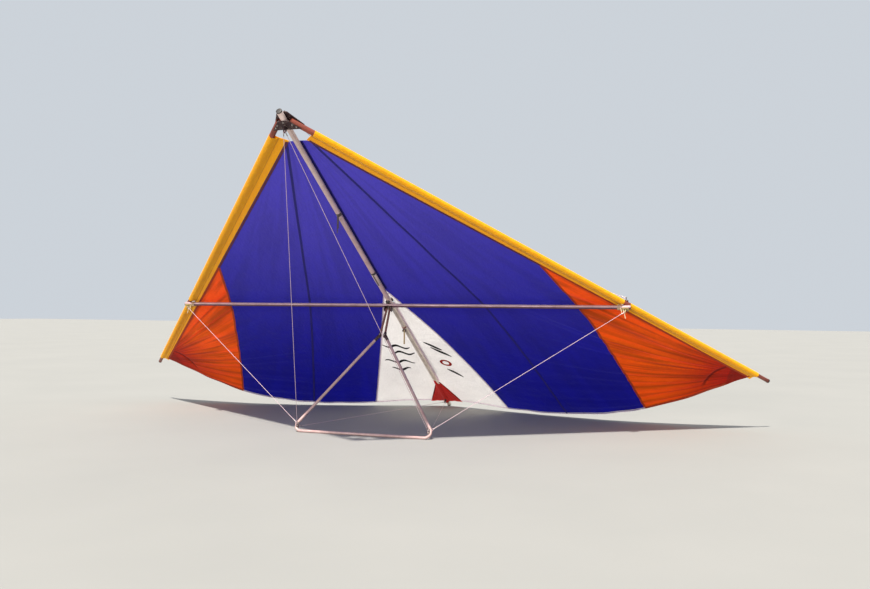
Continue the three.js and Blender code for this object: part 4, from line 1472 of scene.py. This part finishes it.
half_bar = start(
    "base_bar", bpy.ops.mesh.primitive_circle_add, vertices=LEG_FACETS, radius=LEG_RADIUS,
    rotation=(0, math.pi / 2, 0),
)
pick_all(half_bar)
bpy.ops.mesh.extrude_region_move(TRANSFORM_OT_translate={"value": (corner_across, 0, 0)})
bpy.ops.mesh.spin(
    steps=BAR_STEPS, angle=math.pi / 2 + LEG_ANGLE - SHORT_OF_LEG,
    center=(corner_across, 0, CORNER_RADIUS), axis=(0, 1, 0),
)
turn_outwards(half_bar, 1e-5)
modify(half_bar, "MIRROR", use_axis=(True, False, False), merge_threshold=1e-4)
turn_outwards(half_bar)
modify(half_bar, "SOLIDIFY", thickness=TUBE_WALL, offset=-1)
smooth(half_bar)
record_grain(half_bar, Matrix.Rotation(math.pi / 2, 4, "Y"))
down = frame_point(0, 1) - frame_point(0, 0)
ahead = frame_point(0, 0, 1) - frame_point(0, 0, 0)
bar_frame = Matrix((across, -ahead, -down)).transposed().to_4x4()
half_bar.data.transform(Matrix.Translation(frame_point(0, FRAME_DEPTH)) @ bar_frame)
settle(half_bar, BAR_ALUMINIUM, "leg_tube", "control_frame", ["control_frame_base_bar"])

# %% [markdown]
# On each bend sits a small plate with the lower wires' hooks, bolted through the tube. It faces
# forward, so a flat plate is turned up square to the keel.

# %% Corner plates
CORNER_PLATE = 0.005
CORNER_BOLT_RISE = 0.013
OFF_TUBE = 0.001
TANG_ACROSS = LEG_END[0] - 0.008
TANG_DEPTH = LEG_END[1] + 0.03
tang_place = frame_point(TANG_ACROSS, TANG_DEPTH, LEG_RADIUS + OFF_TUBE)
facing_forward = Matrix.Rotation(math.pi / 2, 4, "X")
corner_plate = plate("corner_plate", box_corners(0.014, 0.022), CORNER_PLATE, 0.009)
carry(corner_plate, Matrix.Translation(tang_place) @ facing_forward)
settle_pair(corner_plate, "corner_plate", DARK_PLATE, "dark_fitting", "control_frame", ["corner_tang"])
corner_bolts = []
for rise in (-CORNER_BOLT_RISE, CORNER_BOLT_RISE):
    head = tang_place + Vector((0, -CORNER_PLATE, rise))
    nut = tang_place + Vector((0, 2 * LEG_RADIUS + OFF_TUBE, rise))
    corner_bolts += bolt(head, nut, 0.003)
settle_pair(join("corner_bolts", corner_bolts), "corner_bolts", BOLT_STEEL, "dark_fitting", "control_frame")

# %% [markdown]
# The kingpost stands over the hub and holds the upper wires, which carry the wing when it lands or
# flies upside down. Its head is a mushroom cap over a ring with four lugs, one for each wire.

# %% Kingpost
KINGPOST_RADIUS = 0.016
KINGPOST_TOP = KINGPOST_PIVOT_Z + 0.95
POST_FOOT = KINGPOST_PIVOT_Z - 0.016
HEAD_Z = KINGPOST_TOP - 0.012
LUG_THICKNESS = 0.003
post_collars = ((0.001, 0.05, 0.0009), (0.93, 0.964, 0.0009))
post = tube(
    "kingpost", (0, HUB_Y, POST_FOOT), (0, HUB_Y, KINGPOST_TOP), KINGPOST_RADIUS, post_collars, 32,
)
settle(post, POST_ALUMINIUM, "keel_tube", "kingpost", ["kingpost_tube"])
cap_radius, cap_height = KINGPOST_RADIUS + 0.004, 0.0257
cap_outline = [
    (0, 0), (cap_radius - 0.002, 0), (cap_radius, 0.002), (cap_radius, 0.016), (cap_radius - 0.002, 0.021),
    (cap_radius - 0.006, 0.0248), (cap_radius - 0.0085, cap_height), (0, cap_height),
]
post_cap = lay(turned("kingpost_head", cap_outline, 32), 0, HUB_Y, KINGPOST_TOP + TOUCH)
settle(post_cap, CAP_PLASTIC, "end_cap", "kingpost", ["kingpost_cap"])
lugs = []
for quarter in range(4):
    lug = plate("lug", box_corners(0.008, 0.006, KINGPOST_RADIUS + 0.006), LUG_THICKNESS, 0.005)
    drill(lug, (KINGPOST_RADIUS + 0.009, 0, -0.01), (KINGPOST_RADIUS + 0.009, 0, 0.01), 0.0022)
    turn = Matrix.Rotation(quarter * math.pi / 2, 4, "Z")
    lugs.append(carry(lug, Matrix.Translation((0, HUB_Y, HEAD_Z - LUG_THICKNESS / 2)) @ turn))
settle(join("kingpost_lugs", lugs), DARK_PLATE, "dark_fitting", "kingpost")

# %% [markdown]
# Every wire ends the same way: it goes round a small grooved eye, comes back beside itself, and both
# are swaged into one sleeve. That end is modelled once, with its eye at the origin and the wire
# leaving along Z. The wires that hold the control frame or the kingpost fore and aft are unhooked
# before those fold.

# %% Wires
WIRE_RADIUS = 0.002
EYE = 0.0075
SLEEVE_FROM, SLEEVE_TO = 0.019, 0.04
SLEEVE_WIDTH, SLEEVE_DEPTH = 0.8, 1.15
LOOP_POINT, LOOP_WAIST = 0.011, 0.45
GROOVE = [(0.0052, -0.0022), (0.006, -0.0024), (0.0062, 0), (0.006, 0.0024), (0.0052, 0.0022)]


def mark(piece, name, value):
    """Stores one number on the whole piece for its material to read."""
    attribute = piece.data.attributes.new(name, "FLOAT", "POINT")
    for item in attribute.data:
        item.value = value
    return piece


def make_wire_end():
    loop = start(
        "wire_end", bpy.ops.mesh.primitive_torus_add, major_radius=EYE, minor_radius=WIRE_RADIUS,
        major_segments=28, minor_segments=10, rotation=(0, math.pi / 2, 0),
    )
    for point in loop.data.vertices:
        drawn = max(0.0, point.co.z) / EYE
        point.co.z += LOOP_POINT * drawn * drawn
        point.co.y *= 1 - LOOP_WAIST * min(1.0, drawn)
    smooth(loop, 60)
    eye = turned("eye", GROOVE + GROOVE[:1], 24)
    eye.data.transform(Matrix.Rotation(math.pi / 2, 4, "Y"))
    middle = (SLEEVE_FROM + SLEEVE_TO) / 2
    sleeve = rod("sleeve", SLEEVE_FROM, SLEEVE_TO, 0.0042, 20)
    pick_all(sleeve)
    bpy.ops.transform.resize(value=(SLEEVE_WIDTH, SLEEVE_DEPTH, 1), center_override=(0, 0, middle))
    leave_edit_mode()
    round_edges(sleeve, 0.0008, 50)
    smooth(sleeve)
    low, high = SLEEVE_TO - 0.002, SLEEVE_TO + 0.007
    tail = turned("tail", [(0, low), (WIRE_RADIUS, low), (WIRE_RADIUS, high), (0, high + 0.001)], 10)
    tail.data.transform(Matrix.Translation((0, 0.003, 0)))
    parts = [loop, eye, sleeve, tail]
    for part, bare in zip(parts, (0.0, 1.0, 1.0, 0.6)):
        mark(part, "swage", bare)
        record_grain(part)
    return join("wire_end", parts)


wire_end = make_wire_end()
print("wire end", len(wire_end.data.polygons), "faces")


def wire(name, first, last):
    """A wire between two hooks."""
    first, last = Vector(first), Vector(last)
    length = (last - first).length
    strand = rod(name, SLEEVE_FROM, length - SLEEVE_FROM, WIRE_RADIUS, 12, "NOTHING")
    band_faces(strand, length * 0.33, length * 0.67)
    leave_edit_mode()
    smooth(strand)
    mark(strand, "swage", 0.0)
    carry(strand, axis_frame(first, last))
    near_end = copy_of(wire_end, "end", axis_frame(first, last))
    far_end = copy_of(wire_end, "end", axis_frame(last, first))
    return join(name, [strand, near_end, far_end])


def rig_wire(name, node, hook, end, body, joint=None):
    """Makes a wire and ties it to a body. Where a joint unhooks it, the wire gets a mesh of its own."""
    hook, end = Vector(hook), Vector(end)
    piece = settle(wire(name, hook, end), SHEATHED_WIRE, "wire", body, [node])
    if joint:
        along = (RIG.to_3x3() @ (end - hook)).normalized()
        tuple(RIG @ hook)
        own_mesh(piece)


# %% [markdown]
# The eyes of the lower wires lie beside the tangs they hook into, and the corner plates hold them
# in front of the base bar and behind it. The side wires hook in on the axis of a fold, so they turn
# with it. Each wire is named for where it runs, with the frame's node that it takes the place of.

# %% Lower and upper wires
BESIDE_TANG = 0.0065
UNDER_NOSE = NOSE_TANG_TIP + 0.011
NOSE_HOOK_Y = 0.092
FOLD, POST_FOLD = "control_frame_fold", "kingpost_fold"
for side_name, side in SIDES:
    beside, out = side * BESIDE_TANG, side * (CROSSBAR_HALF - BESIDE_TANG)
    rig_wire(
        f"front_wire_{side_name}", f"lower_front_wire_{side_name}", (beside, NOSE_HOOK_Y, UNDER_NOSE),
        frame_point(side * TANG_ACROSS, TANG_DEPTH, LEG_RADIUS + 0.01), "root", FOLD,
    )
    rig_wire(
        f"rear_wire_{side_name}", f"lower_rear_wire_{side_name}", (beside, TAIL_TANG_Y, -PLATE_GAP - 0.03),
        frame_point(side * TANG_ACROSS, TANG_DEPTH + 0.004, -LEG_RADIUS - 0.004), "root", FOLD,
    )
    rig_wire(
        f"side_wire_{side_name}", f"lower_side_wire_{side_name}", (out, HUB_Y, FRAME_PIVOT_Z),
        frame_point(side * (LEG_END[0] + 0.022), LEG_END[1]), "control_frame",
    )
    rig_wire(
        f"landing_wire_{side_name}", f"upper_side_wire_{side_name}", (out, HUB_Y, KINGPOST_PIVOT_Z),
        (side * (KINGPOST_RADIUS + 0.008), HUB_Y, HEAD_Z), "kingpost",
    )
BEHIND_TANG, BY_POST = 0.004, KINGPOST_RADIUS + 0.005
rig_wire(
    "nose_landing_wire", "upper_nose_wire",
    (0, UPPER_NOSE_TANG[1] + BEHIND_TANG, ON_NOSE_PLATE + 0.0297), (0, HUB_Y - BY_POST, HEAD_Z),
    "root", POST_FOLD,
)
rig_wire(
    "tail_landing_wire", "upper_tail_wire",
    (0, TAIL_TANG_Y - UPPER_TAIL_HALF - BEHIND_TANG, PLATE_GAP + 0.026), (0, HUB_Y + BY_POST, HEAD_Z),
    "root", POST_FOLD,
)

# %% [markdown]
# The leading edge pocket is one long strip of yellow cloth folded round the tube. Behind the tube
# the two layers are sewn together, and the flat part beyond that seam carries the sail. A flat grid
# is wrapped round its section here, point by point, because the section changes along the edge. The
# flat part follows the sail, so that the two meet without a slit.

# %% Leading edge pockets
SLEEVE_RADIUS = 0.0242
STRIP_START = 0.054
LAYER_GAP = 0.0011
TANGENT_ANGLE = math.acos(SLEEVE_RADIUS / STRIP_START)
TANGENT_LENGTH = STRIP_START * math.sin(TANGENT_ANGLE)
ARC_LENGTH = (math.pi - TANGENT_ANGLE) * SLEEVE_RADIUS
POCKET_COLUMNS, POCKET_ROWS = 34, 330
POCKET_LAP = 0.004
HALF_GIRTH = 0.18
SAG_OF_LAYER = 0.0016
PUCKER_HEIGHT, PUCKER_AT, PUCKER_HALF = 0.0011, 0.38, 0.11
JUNCTION_HALF = 0.036


def wrapped_grid(name, columns, rows, shape):
    """A flat grid wrapped into a form. From a point's place across the grid, -1 to 1, and along it,
    0 to 1, shape works out where it is on the flat cut, which is its grain, and where on the form."""
    sheet = start(
        name, bpy.ops.mesh.primitive_grid_add, x_subdivisions=columns, y_subdivisions=rows, size=2,
    )
    grain = sheet.data.attributes.new("grain", "FLOAT_VECTOR", "POINT")
    for point, value in zip(sheet.data.vertices, grain.data):
        value.vector, point.co = shape(point.co.x, (point.co.y + 1) / 2)
    return sheet


def pocket_section(share, width):
    """A point (inward, up) of the section. share runs from -1 below, round the front, to 1 above."""
    side = 1 if share > 0 else -1
    strip = width - STRIP_START
    run = abs(share) * (strip + TANGENT_LENGTH + ARC_LENGTH)
    if run < ARC_LENGTH:
        angle = math.pi - run / SLEEVE_RADIUS
        return SLEEVE_RADIUS * math.cos(angle), side * SLEEVE_RADIUS * math.sin(angle)
    run -= ARC_LENGTH
    if run < TANGENT_LENGTH:
        part = run / TANGENT_LENGTH
        sag = SAG_OF_LAYER * math.sin(math.pi * part)
        inward = SLEEVE_RADIUS * math.cos(TANGENT_ANGLE) * (1 - part) + STRIP_START * part
        up = SLEEVE_RADIUS * math.sin(TANGENT_ANGLE) * (1 - part) + LAYER_GAP * part
        return inward, side * max(LAYER_GAP, up - sag)
    run -= TANGENT_LENGTH
    return STRIP_START + run, side * LAYER_GAP


def pocket_pucker(along, share, side):
    """Small gathers between the tube and the seam, where the cloth is eased round the tube."""
    wander = noise.noise(Vector((along * 1.3, share * 2, side * 4.0)))
    wave = math.sin(along * 74 + 5 * wander) * 0.6 + math.sin(along * 131 + 9 * wander) * 0.4
    return PUCKER_HEIGHT * wave * math.exp(-((abs(share) - PUCKER_AT) / PUCKER_HALF) ** 2)


def pocket_cut(centre, side):
    """Whether a face lies in the opening where the crossbar is bolted on."""
    along = side * centre.x * math.sin(NOSE_HALF_ANGLE) + centre.y * math.cos(NOSE_HALF_ANGLE)
    inward = centre.y * math.sin(NOSE_HALF_ANGLE) - side * centre.x * math.cos(NOSE_HALF_ANGLE)
    return abs(along - JUNCTION_ALONG) < JUNCTION_HALF and inward < STRIP_START


def make_pocket(side_name, side):
    def shape(share, run):
        along = POCKET_START + run * (POCKET_END - POCKET_START)
        inward, rise = pocket_section(share, pocket_width(along) + POCKET_LAP)
        rise += pocket_pucker(along, share, side)
        flat = leading_point(along, inward)
        if inward > 0:
            rise += on_sail(side * flat.x, flat.y).z * ramp(inward, 0.02, STRIP_START)
        return (share * HALF_GIRTH, along, 0), (side * flat.x, flat.y, rise)

    sheet = wrapped_grid(f"pocket_{side_name}", POCKET_COLUMNS, POCKET_ROWS, shape)
    pick(sheet, lambda face: pocket_cut(face.calc_center_median(), side))
    bpy.ops.mesh.delete(type="FACE")
    turn_outwards(sheet)
    modify(sheet, "SOLIDIFY", thickness=CLOTH_THICKNESS, offset=0)
    smooth(sheet, 60)
    settle(sheet, YELLOW, "cloth_yellow", nodes=[f"sail_pocket_{side_name}"])
    return sheet


for side_name, side in SIDES:
    print("pocket", round(one_side_area(make_pocket(side_name, side)), 2), "square metres")

# %% [markdown]
# Where panels meet, the sailmaker laps the two cloths and sews two rows of zigzag through the lap.
# Seen against the sun a lap is darker than the sail, because light has to pass through more cloth.
# Each lap is a narrow strip round the panels' edges, a little thicker than one cloth. Its stitches
# are drawn by its material from the flat cut, where X is the distance from the seam.

# %% Stitched cloth
STITCHES_PER_METRE = 110.0
STITCH_SWING = 0.003
STITCH_EDGE = (0.0004, 0.0009)
STITCH_DEPTH = 0.0006


def shaded(colour, share):
    """The same colour, darker."""
    return tuple(part * share for part in colour[:3]) + (1.0,)


def lap_cloth(name, row, colour, thread, through, glow):
    """Doubled cloth with a row of zigzag stitches on either side of its middle."""
    paint = Paint(name)
    specks = paint.noise(60.0, 3.0, 0.6)
    worn = (paint.noise(3.0, 4.0, 0.6) * 0.6 + specks * 0.4).step(0.35, 0.65)
    run = paint.axis(1) * STITCHES_PER_METRE
    swing = run.math("PINGPONG", run, 1.0)
    away = (paint.axis(0).size() - row + (swing - 0.5) * STITCH_SWING).size()
    stitch = 1 - away.step(*STITCH_EDGE)
    tint = paint.mix(stitch * 0.5, paint.mix(worn, colour, shaded(colour, 0.75)), thread)
    surface = paint.bump(specks * 0.3 + stitch, STITCH_DEPTH)
    front = paint.principled(Base_Color=tint, Roughness=0.7, Normal=surface)
    dark = paint.light_through(shaded(glow, 0.4))
    back = paint.blend(stitch * 0.5, paint.light_through(glow), dark)
    return paint.finish(paint.blend(through, front, back))


BLUE_LAP = lap_cloth(
    "lap_blue", 0.006, rgb(0.014, 0.01, 0.2), rgb(0.1, 0.08, 0.45), 0.3, rgb(0.03, 0.02, 0.35),
)
YELLOW_LAP = lap_cloth(
    "lap_yellow", 0.004, rgb(0.78, 0.33, 0.006), rgb(0.85, 0.5, 0.08), 0.3, rgb(0.8, 0.4, 0.01),
)
ORANGE_LAP = lap_cloth(
    "lap_orange", 0.006, rgb(0.42, 0.045, 0.006), rgb(0.6, 0.14, 0.03), 0.35, rgb(0.55, 0.06, 0.006),
)
RED_LAP = lap_cloth(
    "lap_red", 0.006, rgb(0.3, 0.008, 0.008), rgb(0.5, 0.05, 0.03), 0.3, rgb(0.4, 0.01, 0.01),
)
WHITE_LAP = lap_cloth(
    "lap_white", 0.006, rgb(0.95, 0.86, 0.92), rgb(0.5, 0.45, 0.46), 0.6, rgb(1.0, 0.9, 0.96),
)
PURPLE_LAP = lap_cloth(
    "lap_purple", 0.005, rgb(0.09, 0.012, 0.05), rgb(0.3, 0.1, 0.08), 0.15, rgb(0.16, 0.02, 0.06),
)
print("finishes with the laps", len(bpy.data.materials))

# %% [markdown]
# A seam is a line of the plan, so its ends are found by crossing it with the pocket's edge and the
# trailing edge. Its strip is a narrow grid along that line, lifted onto the sail like the panels.
# Laps by the keel start a little aft of their point, where the strips from both sides would meet.

# %% Laps and hems
LAP_THICKNESS, POCKET_LAP_THICKNESS = 0.0034, 0.0052
LAP_STEP = 0.011
SEAM_WIDE, HEM_WIDE = 0.022, 0.024
HEM_SHIFT = 0.008


def strip(name, first, last, wide, side=1, shift=0.0, thickness=LAP_THICKNESS):
    """A strip of cloth on the sail along a line of the plan, shifted to one side of it."""
    first, last = Vector(first), Vector(last)
    run = last - first
    across_run = Vector((run.y, -run.x)).normalized()
    rows = max(2, round(run.length / LAP_STEP))
    columns = max(2, round(wide / LAP_STEP) + 1)

    def shape(over, share):
        off = over * wide / 2
        flat = first + run * share + across_run * (off + shift)
        return (off, share * run.length, 0), on_sail(side * flat.x, flat.y)

    lap = wrapped_grid(name, columns, rows, shape)
    if side < 0:
        lap.data.flip_normals()
    modify(lap, "SOLIDIFY", thickness=thickness, offset=0)
    smooth(lap, 50)
    return lap


def meet(first, second, third, fourth):
    """Where the line through two points of the plan crosses the line through two others."""
    run, other = second - first, fourth - third
    cross = run.x * other.y - run.y * other.x
    gap = third - first
    return first + run * ((gap.x * other.y - gap.y * other.x) / cross)


def seam_line(apex, slope, off_apex):
    """The two ends of a seam that starts off_apex behind its point on the keel: there, and at the
    trailing edge."""
    point = plan(0, apex)
    foot = meet(point, plan(slope, apex + 1), *EDGE_POINTS)
    return point + (foot - point).normalized() * off_apex, foot


mid_top, mid_foot = seam_line(*MID_SEAM, SAIL_FRONT + 0.02)
root_top, root_foot = seam_line(*ROOT_SEAM, 0.06)
patch_top, patch_foot = seam_line(*PATCH_SEAM, 0.045)
tip_run = (TIP_SEAM_TOP, TIP_SEAM_TOP + plan(TIP_SEAM_SLOPE, 1))
tip_top, tip_foot = meet(*tip_run, *POCKET_INNER), meet(*tip_run, *EDGE_POINTS)
pocket_front = leading_point(POCKET_START + 0.02, pocket_width(POCKET_START))
pocket_tip = leading_point(POCKET_END - 0.06, pocket_width(POCKET_END) - 0.002)
sewn_from = leading_point(POCKET_START + 0.004, STRIP_START)
sewn_to = leading_point(POCKET_END - 0.01, STRIP_START)
tip_end = TIP - plan(0.02, -0.006)
LAPS = {
    "mid_seam": (mid_top, mid_foot, SEAM_WIDE, 0, BLUE_LAP, "cloth_blue"),
    "root_seam": (root_top, root_foot, 0.018, 0, WHITE_LAP, "cloth_white"),
    "patch_seam": (patch_top, patch_foot, 0.016, 0, RED_LAP, "cloth_red"),
    "tip_seam": (tip_top, tip_foot, SEAM_WIDE, 0, ORANGE_LAP, "cloth_orange"),
    "pocket_seam_blue": (pocket_front, tip_top, 0.024, 0.004, PURPLE_LAP, "cloth_blue"),
    "pocket_seam_orange": (tip_top, pocket_tip, SEAM_WIDE, 0.004, ORANGE_LAP, "cloth_orange"),
    "pocket_sewing": (sewn_from, sewn_to, 0.012, 0, YELLOW_LAP, "cloth_yellow"),
    "hem_white": (plan(0.001, SAIL_TAIL), root_foot, HEM_WIDE, HEM_SHIFT, WHITE_LAP, "cloth_white"),
    "hem_blue": (root_foot, tip_foot, HEM_WIDE, HEM_SHIFT, WHITE_LAP, "cloth_white"),
    "hem_orange": (tip_foot, tip_end, HEM_WIDE, HEM_SHIFT, ORANGE_LAP, "cloth_orange"),
}
for side_name, side in SIDES:
    for lap_name, (first, last, wide, shift, material, slot) in LAPS.items():
        thickness = POCKET_LAP_THICKNESS if lap_name.startswith("pocket") else LAP_THICKNESS
        lap = strip(f"{lap_name}_{side_name}", first, last, wide, side, shift, thickness)
        settle(lap, material, slot)
        length = (last - first).length

# %% [markdown]
# The load of the sail is greatest at the wing tips, so extra layers are sewn on there. A doubler of
# the same cloth is darker against the sun than the panel. It is cut like a panel, only with one more
# line across it, and it lies round the panel's two faces.

# %% Doublers at the tips
DOUBLER_REACH, DOUBLER_EDGE = 0.34, 0.92
DOUBLER_OFF = 0.0012


def tip_doubler(side_name, side):
    inside = leading_point(POCKET_END - DOUBLER_REACH * 0.5, pocket_width(POCKET_END) + 0.03)
    sheet = cut_panel(f"tip_doubler_{side_name}", side, inside, (TIP_SEAM,))
    along_point = leading_point(POCKET_END - DOUBLER_REACH, 0)
    edge_point = TIP + (plan(0, SAIL_TAIL) - TIP).normalized() * DOUBLER_REACH * DOUBLER_EDGE
    point, normal = line(along_point, edge_point, inside)
    slice_off(sheet, plan(side * point.x, point.y), plan(side * normal.x, normal.y))
    leave_edit_mode()
    drape(sheet)
    modify(sheet, "SOLIDIFY", thickness=CLOTH_THICKNESS + 2 * DOUBLER_OFF, offset=0)
    smooth(sheet, 60)
    settle(sheet, ORANGE, "cloth_orange")
    return sheet


for side_name, side in SIDES:
    print("doubler", round(one_side_area(tip_doubler(side_name, side)), 3), "square metres")

# %% [markdown]
# Over the keel the two halves of the sail are joined by strips of doubled cloth, which lie on the
# tube like a narrow tunnel. They are laps like the others, only wider. The strips leave the hub free,
# where the kingpost comes through.

# %% Root tunnel
ROOT_WIDE = 0.07


def root_strip(name, first_y, last_y, material, slot):
    lap = strip(name, (0, first_y), (0, last_y), ROOT_WIDE)
    settle(lap, material, slot)


root_strip("root_tunnel_blue", SAIL_FRONT + 0.004, ROOT_APEX - 0.01, BLUE_LAP, "cloth_blue")
root_strip("root_tunnel_white", HUB_Y + 0.045, PATCH_APEX, WHITE_LAP, "cloth_white")

# %% [markdown]
# Straps go round the lower half of the tube: two bands with a buckle underneath, and two thin ones. A
# strap's section is spun half round the keel. The front band's loose ends are flat tapes that hang
# plumb, however the keel slopes, so they are turned back by the pitch of the parked glider.

# %% Straps on the keel
BAND_WALL = 0.002
ON_KEEL, UNDER_BAND = MAIN_RADIUS + TOUCH, -MAIN_RADIUS - TOUCH - BAND_WALL
# The middle band takes the keel's finish, painted shade and all.
BANDS = {"front": (1.2, 0.034, DARK_WEBBING), "middle": (2.165, 0.16, SHADED_KEEL)}
THIN_STRAPS = {"thin": (2.135, 0.026, DARK_WEBBING), "red": (HANG_Y - 0.045, 0.02, RED_WEBBING)}
STRAP_TAIL_Y = 1.217
STRAP_TAILS = ((-0.004, 0.15), (0.006, 0.11))
plumb = RIG.to_3x3().inverted().to_4x4()


def half_ring(name, y, wide, inner, outer):
    """A strap laid round the lower half of the keel."""
    piece = start(name, bpy.ops.mesh.primitive_plane_add, size=1)
    outline_square(piece, ((inner, 0), (outer, 0), (outer, wide), (inner, wide)))
    pick_all(piece)
    bpy.ops.mesh.spin(steps=24, angle=math.pi, center=(0, 0, 0), axis=(0, -1, 0))
    turn_outwards(piece, SAME_PLACE)
    round_edges(piece, 0.0006, 40)
    smooth(piece)
    piece.data.transform(Matrix.Translation((0, y, 0)))
    return piece


def hang(tape, length, shift=0.0):
    """Turns a flat tape so that it hangs straight down from the origin."""
    tape.data.transform(Matrix(((1, 0, 0, shift), (0, 0, 1, 0), (0, 1, 0, -length / 2), (0, 0, 0, 1))))
    return tape


for band_name, (y, wide, material) in BANDS.items():
    ring = half_ring("ring", y, wide, ON_KEEL, ON_KEEL + BAND_WALL)
    buckle = plate("buckle", box_corners(0.009, min(0.02, wide * 0.4)), 0.0025, 0.003)
    lay(buckle, 0, y + wide / 2, UNDER_BAND - 0.0028)
    band = join(f"keel_strap_{band_name}", [ring, buckle])
    settle(band, material, "webbing", nodes=[f"keel_band_{band_name}"])
for strap_name, (y, wide, material) in THIN_STRAPS.items():
    strap = half_ring(f"keel_strap_{strap_name}", y, wide, ON_KEEL, MAIN_RADIUS + 2 * BAND_WALL)
    settle(strap, material, "webbing")
strap_run = plate("strap_run", box_corners(0.006, 0.085), 0.0022, 0.003)
settle(lay(strap_run, 0.004, 2.25, UNDER_BAND - 0.0044), DARK_WEBBING, "webbing")
tails = []
for shift, length in STRAP_TAILS:
    tape = plate("strap_tail", box_corners(0.0045, length / 2), 0.0016, 0.0015)
    tails.append(hang(tape, length, shift))
strap_tail = join("strap_tail", tails)
record_grain(strap_tail)
strap_tail.data.transform(Matrix.Translation((0, STRAP_TAIL_Y, -MAIN_RADIUS - 0.004)) @ plumb)
settle(strap_tail, DARK_WEBBING, "webbing")

# %% [markdown]
# At the tail a red cloth is drawn under the keel. It starts from a point on the tube and widens to
# the trailing edge, with hollow edges, because it is only held at its corners. It is a grid again,
# whose middle follows the underside of the tube and whose sides rise to the sail.

# %% Tail cover
COVER_FROM, COVER_TO = PATCH_APEX - 0.09, SAIL_TAIL - 0.01
COVER_HALF, COVER_POINT = 0.2, 0.012
COVER_COLUMNS, COVER_ROWS = 44, 40
COVER_HOLLOW, COVER_PUCKER = 0.02, 0.0016
BELOW_SAIL = -0.006
UNDER_KEEL = MAIN_RADIUS + 0.003


def cover_height(x, y):
    """Height of the cloth that hangs under the keel, x across from it."""
    near = min(abs(x), UNDER_KEEL)
    round_keel = -math.sqrt(max(0.0, UNDER_KEEL**2 - near**2))
    rise = ramp(abs(x), UNDER_KEEL * 0.6, COVER_HALF * 0.75)
    return round_keel * (1 - rise) + on_sail(x, y, BELOW_SAIL).z * rise


def cover_shape(over, share):
    y = COVER_FROM + (COVER_TO - COVER_FROM) * share - COVER_HOLLOW * share * over**2
    x = over * (COVER_POINT + (COVER_HALF - COVER_POINT) * share**1.7)
    pucker = COVER_PUCKER * math.sin(over * 17) * share
    return (x, y, 0), (x, y, cover_height(x, y) + pucker)


cover = wrapped_grid("tail_cover", COVER_COLUMNS, COVER_ROWS, cover_shape)
modify(cover, "SOLIDIFY", thickness=CLOTH_THICKNESS, offset=0)
smooth(cover, 60)
settle(cover, RED, "cloth_red")
print("cover", round(one_side_area(cover), 3), "square metres")

# %% [markdown]
# The strap for the pilot's harness is a loop of webbing on its own bolt, sewn to itself. It starts as
# two points, one on either edge of the webbing. They are pulled straight up, spun round the bolt,
# pulled down again and spun round the bottom.

# %% Harness loop
LOOP_DROP, LOOP_OUTER, LOOP_INNER, LOOP_WIDE = 0.13, 0.009, 0.0065, 0.011
LOOP_STEPS = 14
loop_middle = (LOOP_OUTER + LOOP_INNER) / 2
loop = start("harness_loop", bpy.ops.mesh.primitive_plane_add, size=1)
pick_all(loop)
bpy.ops.mesh.delete(type="ONLY_FACE")
pick(loop, lambda point: point.index > 1, "VERT")
bpy.ops.mesh.delete(type="VERT")
leave_edit_mode()
for point, x in zip(loop.data.vertices, (-LOOP_WIDE / 2, LOOP_WIDE / 2)):
    point.co = (x, loop_middle, -LOOP_DROP)
pick_all(loop)
bpy.ops.mesh.extrude_region_move(TRANSFORM_OT_translate={"value": (0, 0, LOOP_DROP)})
bpy.ops.mesh.spin(steps=LOOP_STEPS, angle=math.pi, center=(0, 0, 0), axis=(-1, 0, 0))
bpy.ops.mesh.extrude_region_move(TRANSFORM_OT_translate={"value": (0, 0, -LOOP_DROP)})
bpy.ops.mesh.spin(steps=LOOP_STEPS, angle=math.pi, center=(0, 0, -LOOP_DROP), axis=(-1, 0, 0))
turn_outwards(loop, 1e-5)
modify(loop, "SOLIDIFY", thickness=LOOP_OUTER - LOOP_INNER, offset=0)
round_edges(loop, RIM_BEVEL, 50)
smooth(loop)
hang_place = Matrix.Translation(RIG @ Vector((0, HANG_Y, HANG_Z)))
settle(loop, CREAM_TAPE, "webbing", "hang_loop", ["hang_loop"], hang_place)

# %% [markdown]
# Near each end the crossbar has a lashing of cord: six turns side by side, which lean to one side and
# the other, and two loose ends. Each turn is a torus pressed a little out of round, so that it isn't
# as regular as a spring.

# %% Lashings
CORD_RADIUS = 0.0022
LASHING_TURNS, TURN_PITCH = 6, 0.0046
LASHING_X = CROSSBAR_HALF - 0.05
LEANS = (-0.09, 0.12)
LASHING_TAILS = ((0.002, 0.06), (0.022, 0.1))
lashing = []
for turn_number in range(LASHING_TURNS):
    coil = start(
        "coil", bpy.ops.mesh.primitive_torus_add, major_radius=CROSSBAR_RADIUS + 0.0032,
        minor_radius=CORD_RADIUS, major_segments=28, minor_segments=8, rotation=(0, math.pi / 2, 0),
    )
    pick_all(coil)
    bpy.ops.transform.resize(value=(1, 1.04, 1.06), center_override=(0, 0, 0))
    leave_edit_mode()
    place = Matrix.Translation((LASHING_X - turn_number * TURN_PITCH, HUB_Y, CROSSBAR_Z))
    lashing.append(carry(coil, place @ Matrix.Rotation(LEANS[turn_number % 2], 4, "Z")))
sway = plumb @ Matrix.Rotation(-0.25, 4, "Y")
for shift, length in LASHING_TAILS:
    tail = plate("lashing_tail", box_corners(0.004, length / 2), CORD_RADIUS, 0.0018)
    record_grain(tail)
    place = Matrix.Translation((CROSSBAR_HALF - 0.045 + shift, HUB_Y - 0.02, CROSSBAR_Z - 0.018))
    lashing.append(carry(hang(tail, length), place @ sway))
settle_pair(join("lashing", lashing), "lashing", CREAM_TAPE, "webbing")

# %% [markdown]
# The models that were only copied from are taken away.

for model in (bolt_head, bolt_nut, wire_end):
    bpy.data.objects.remove(model)
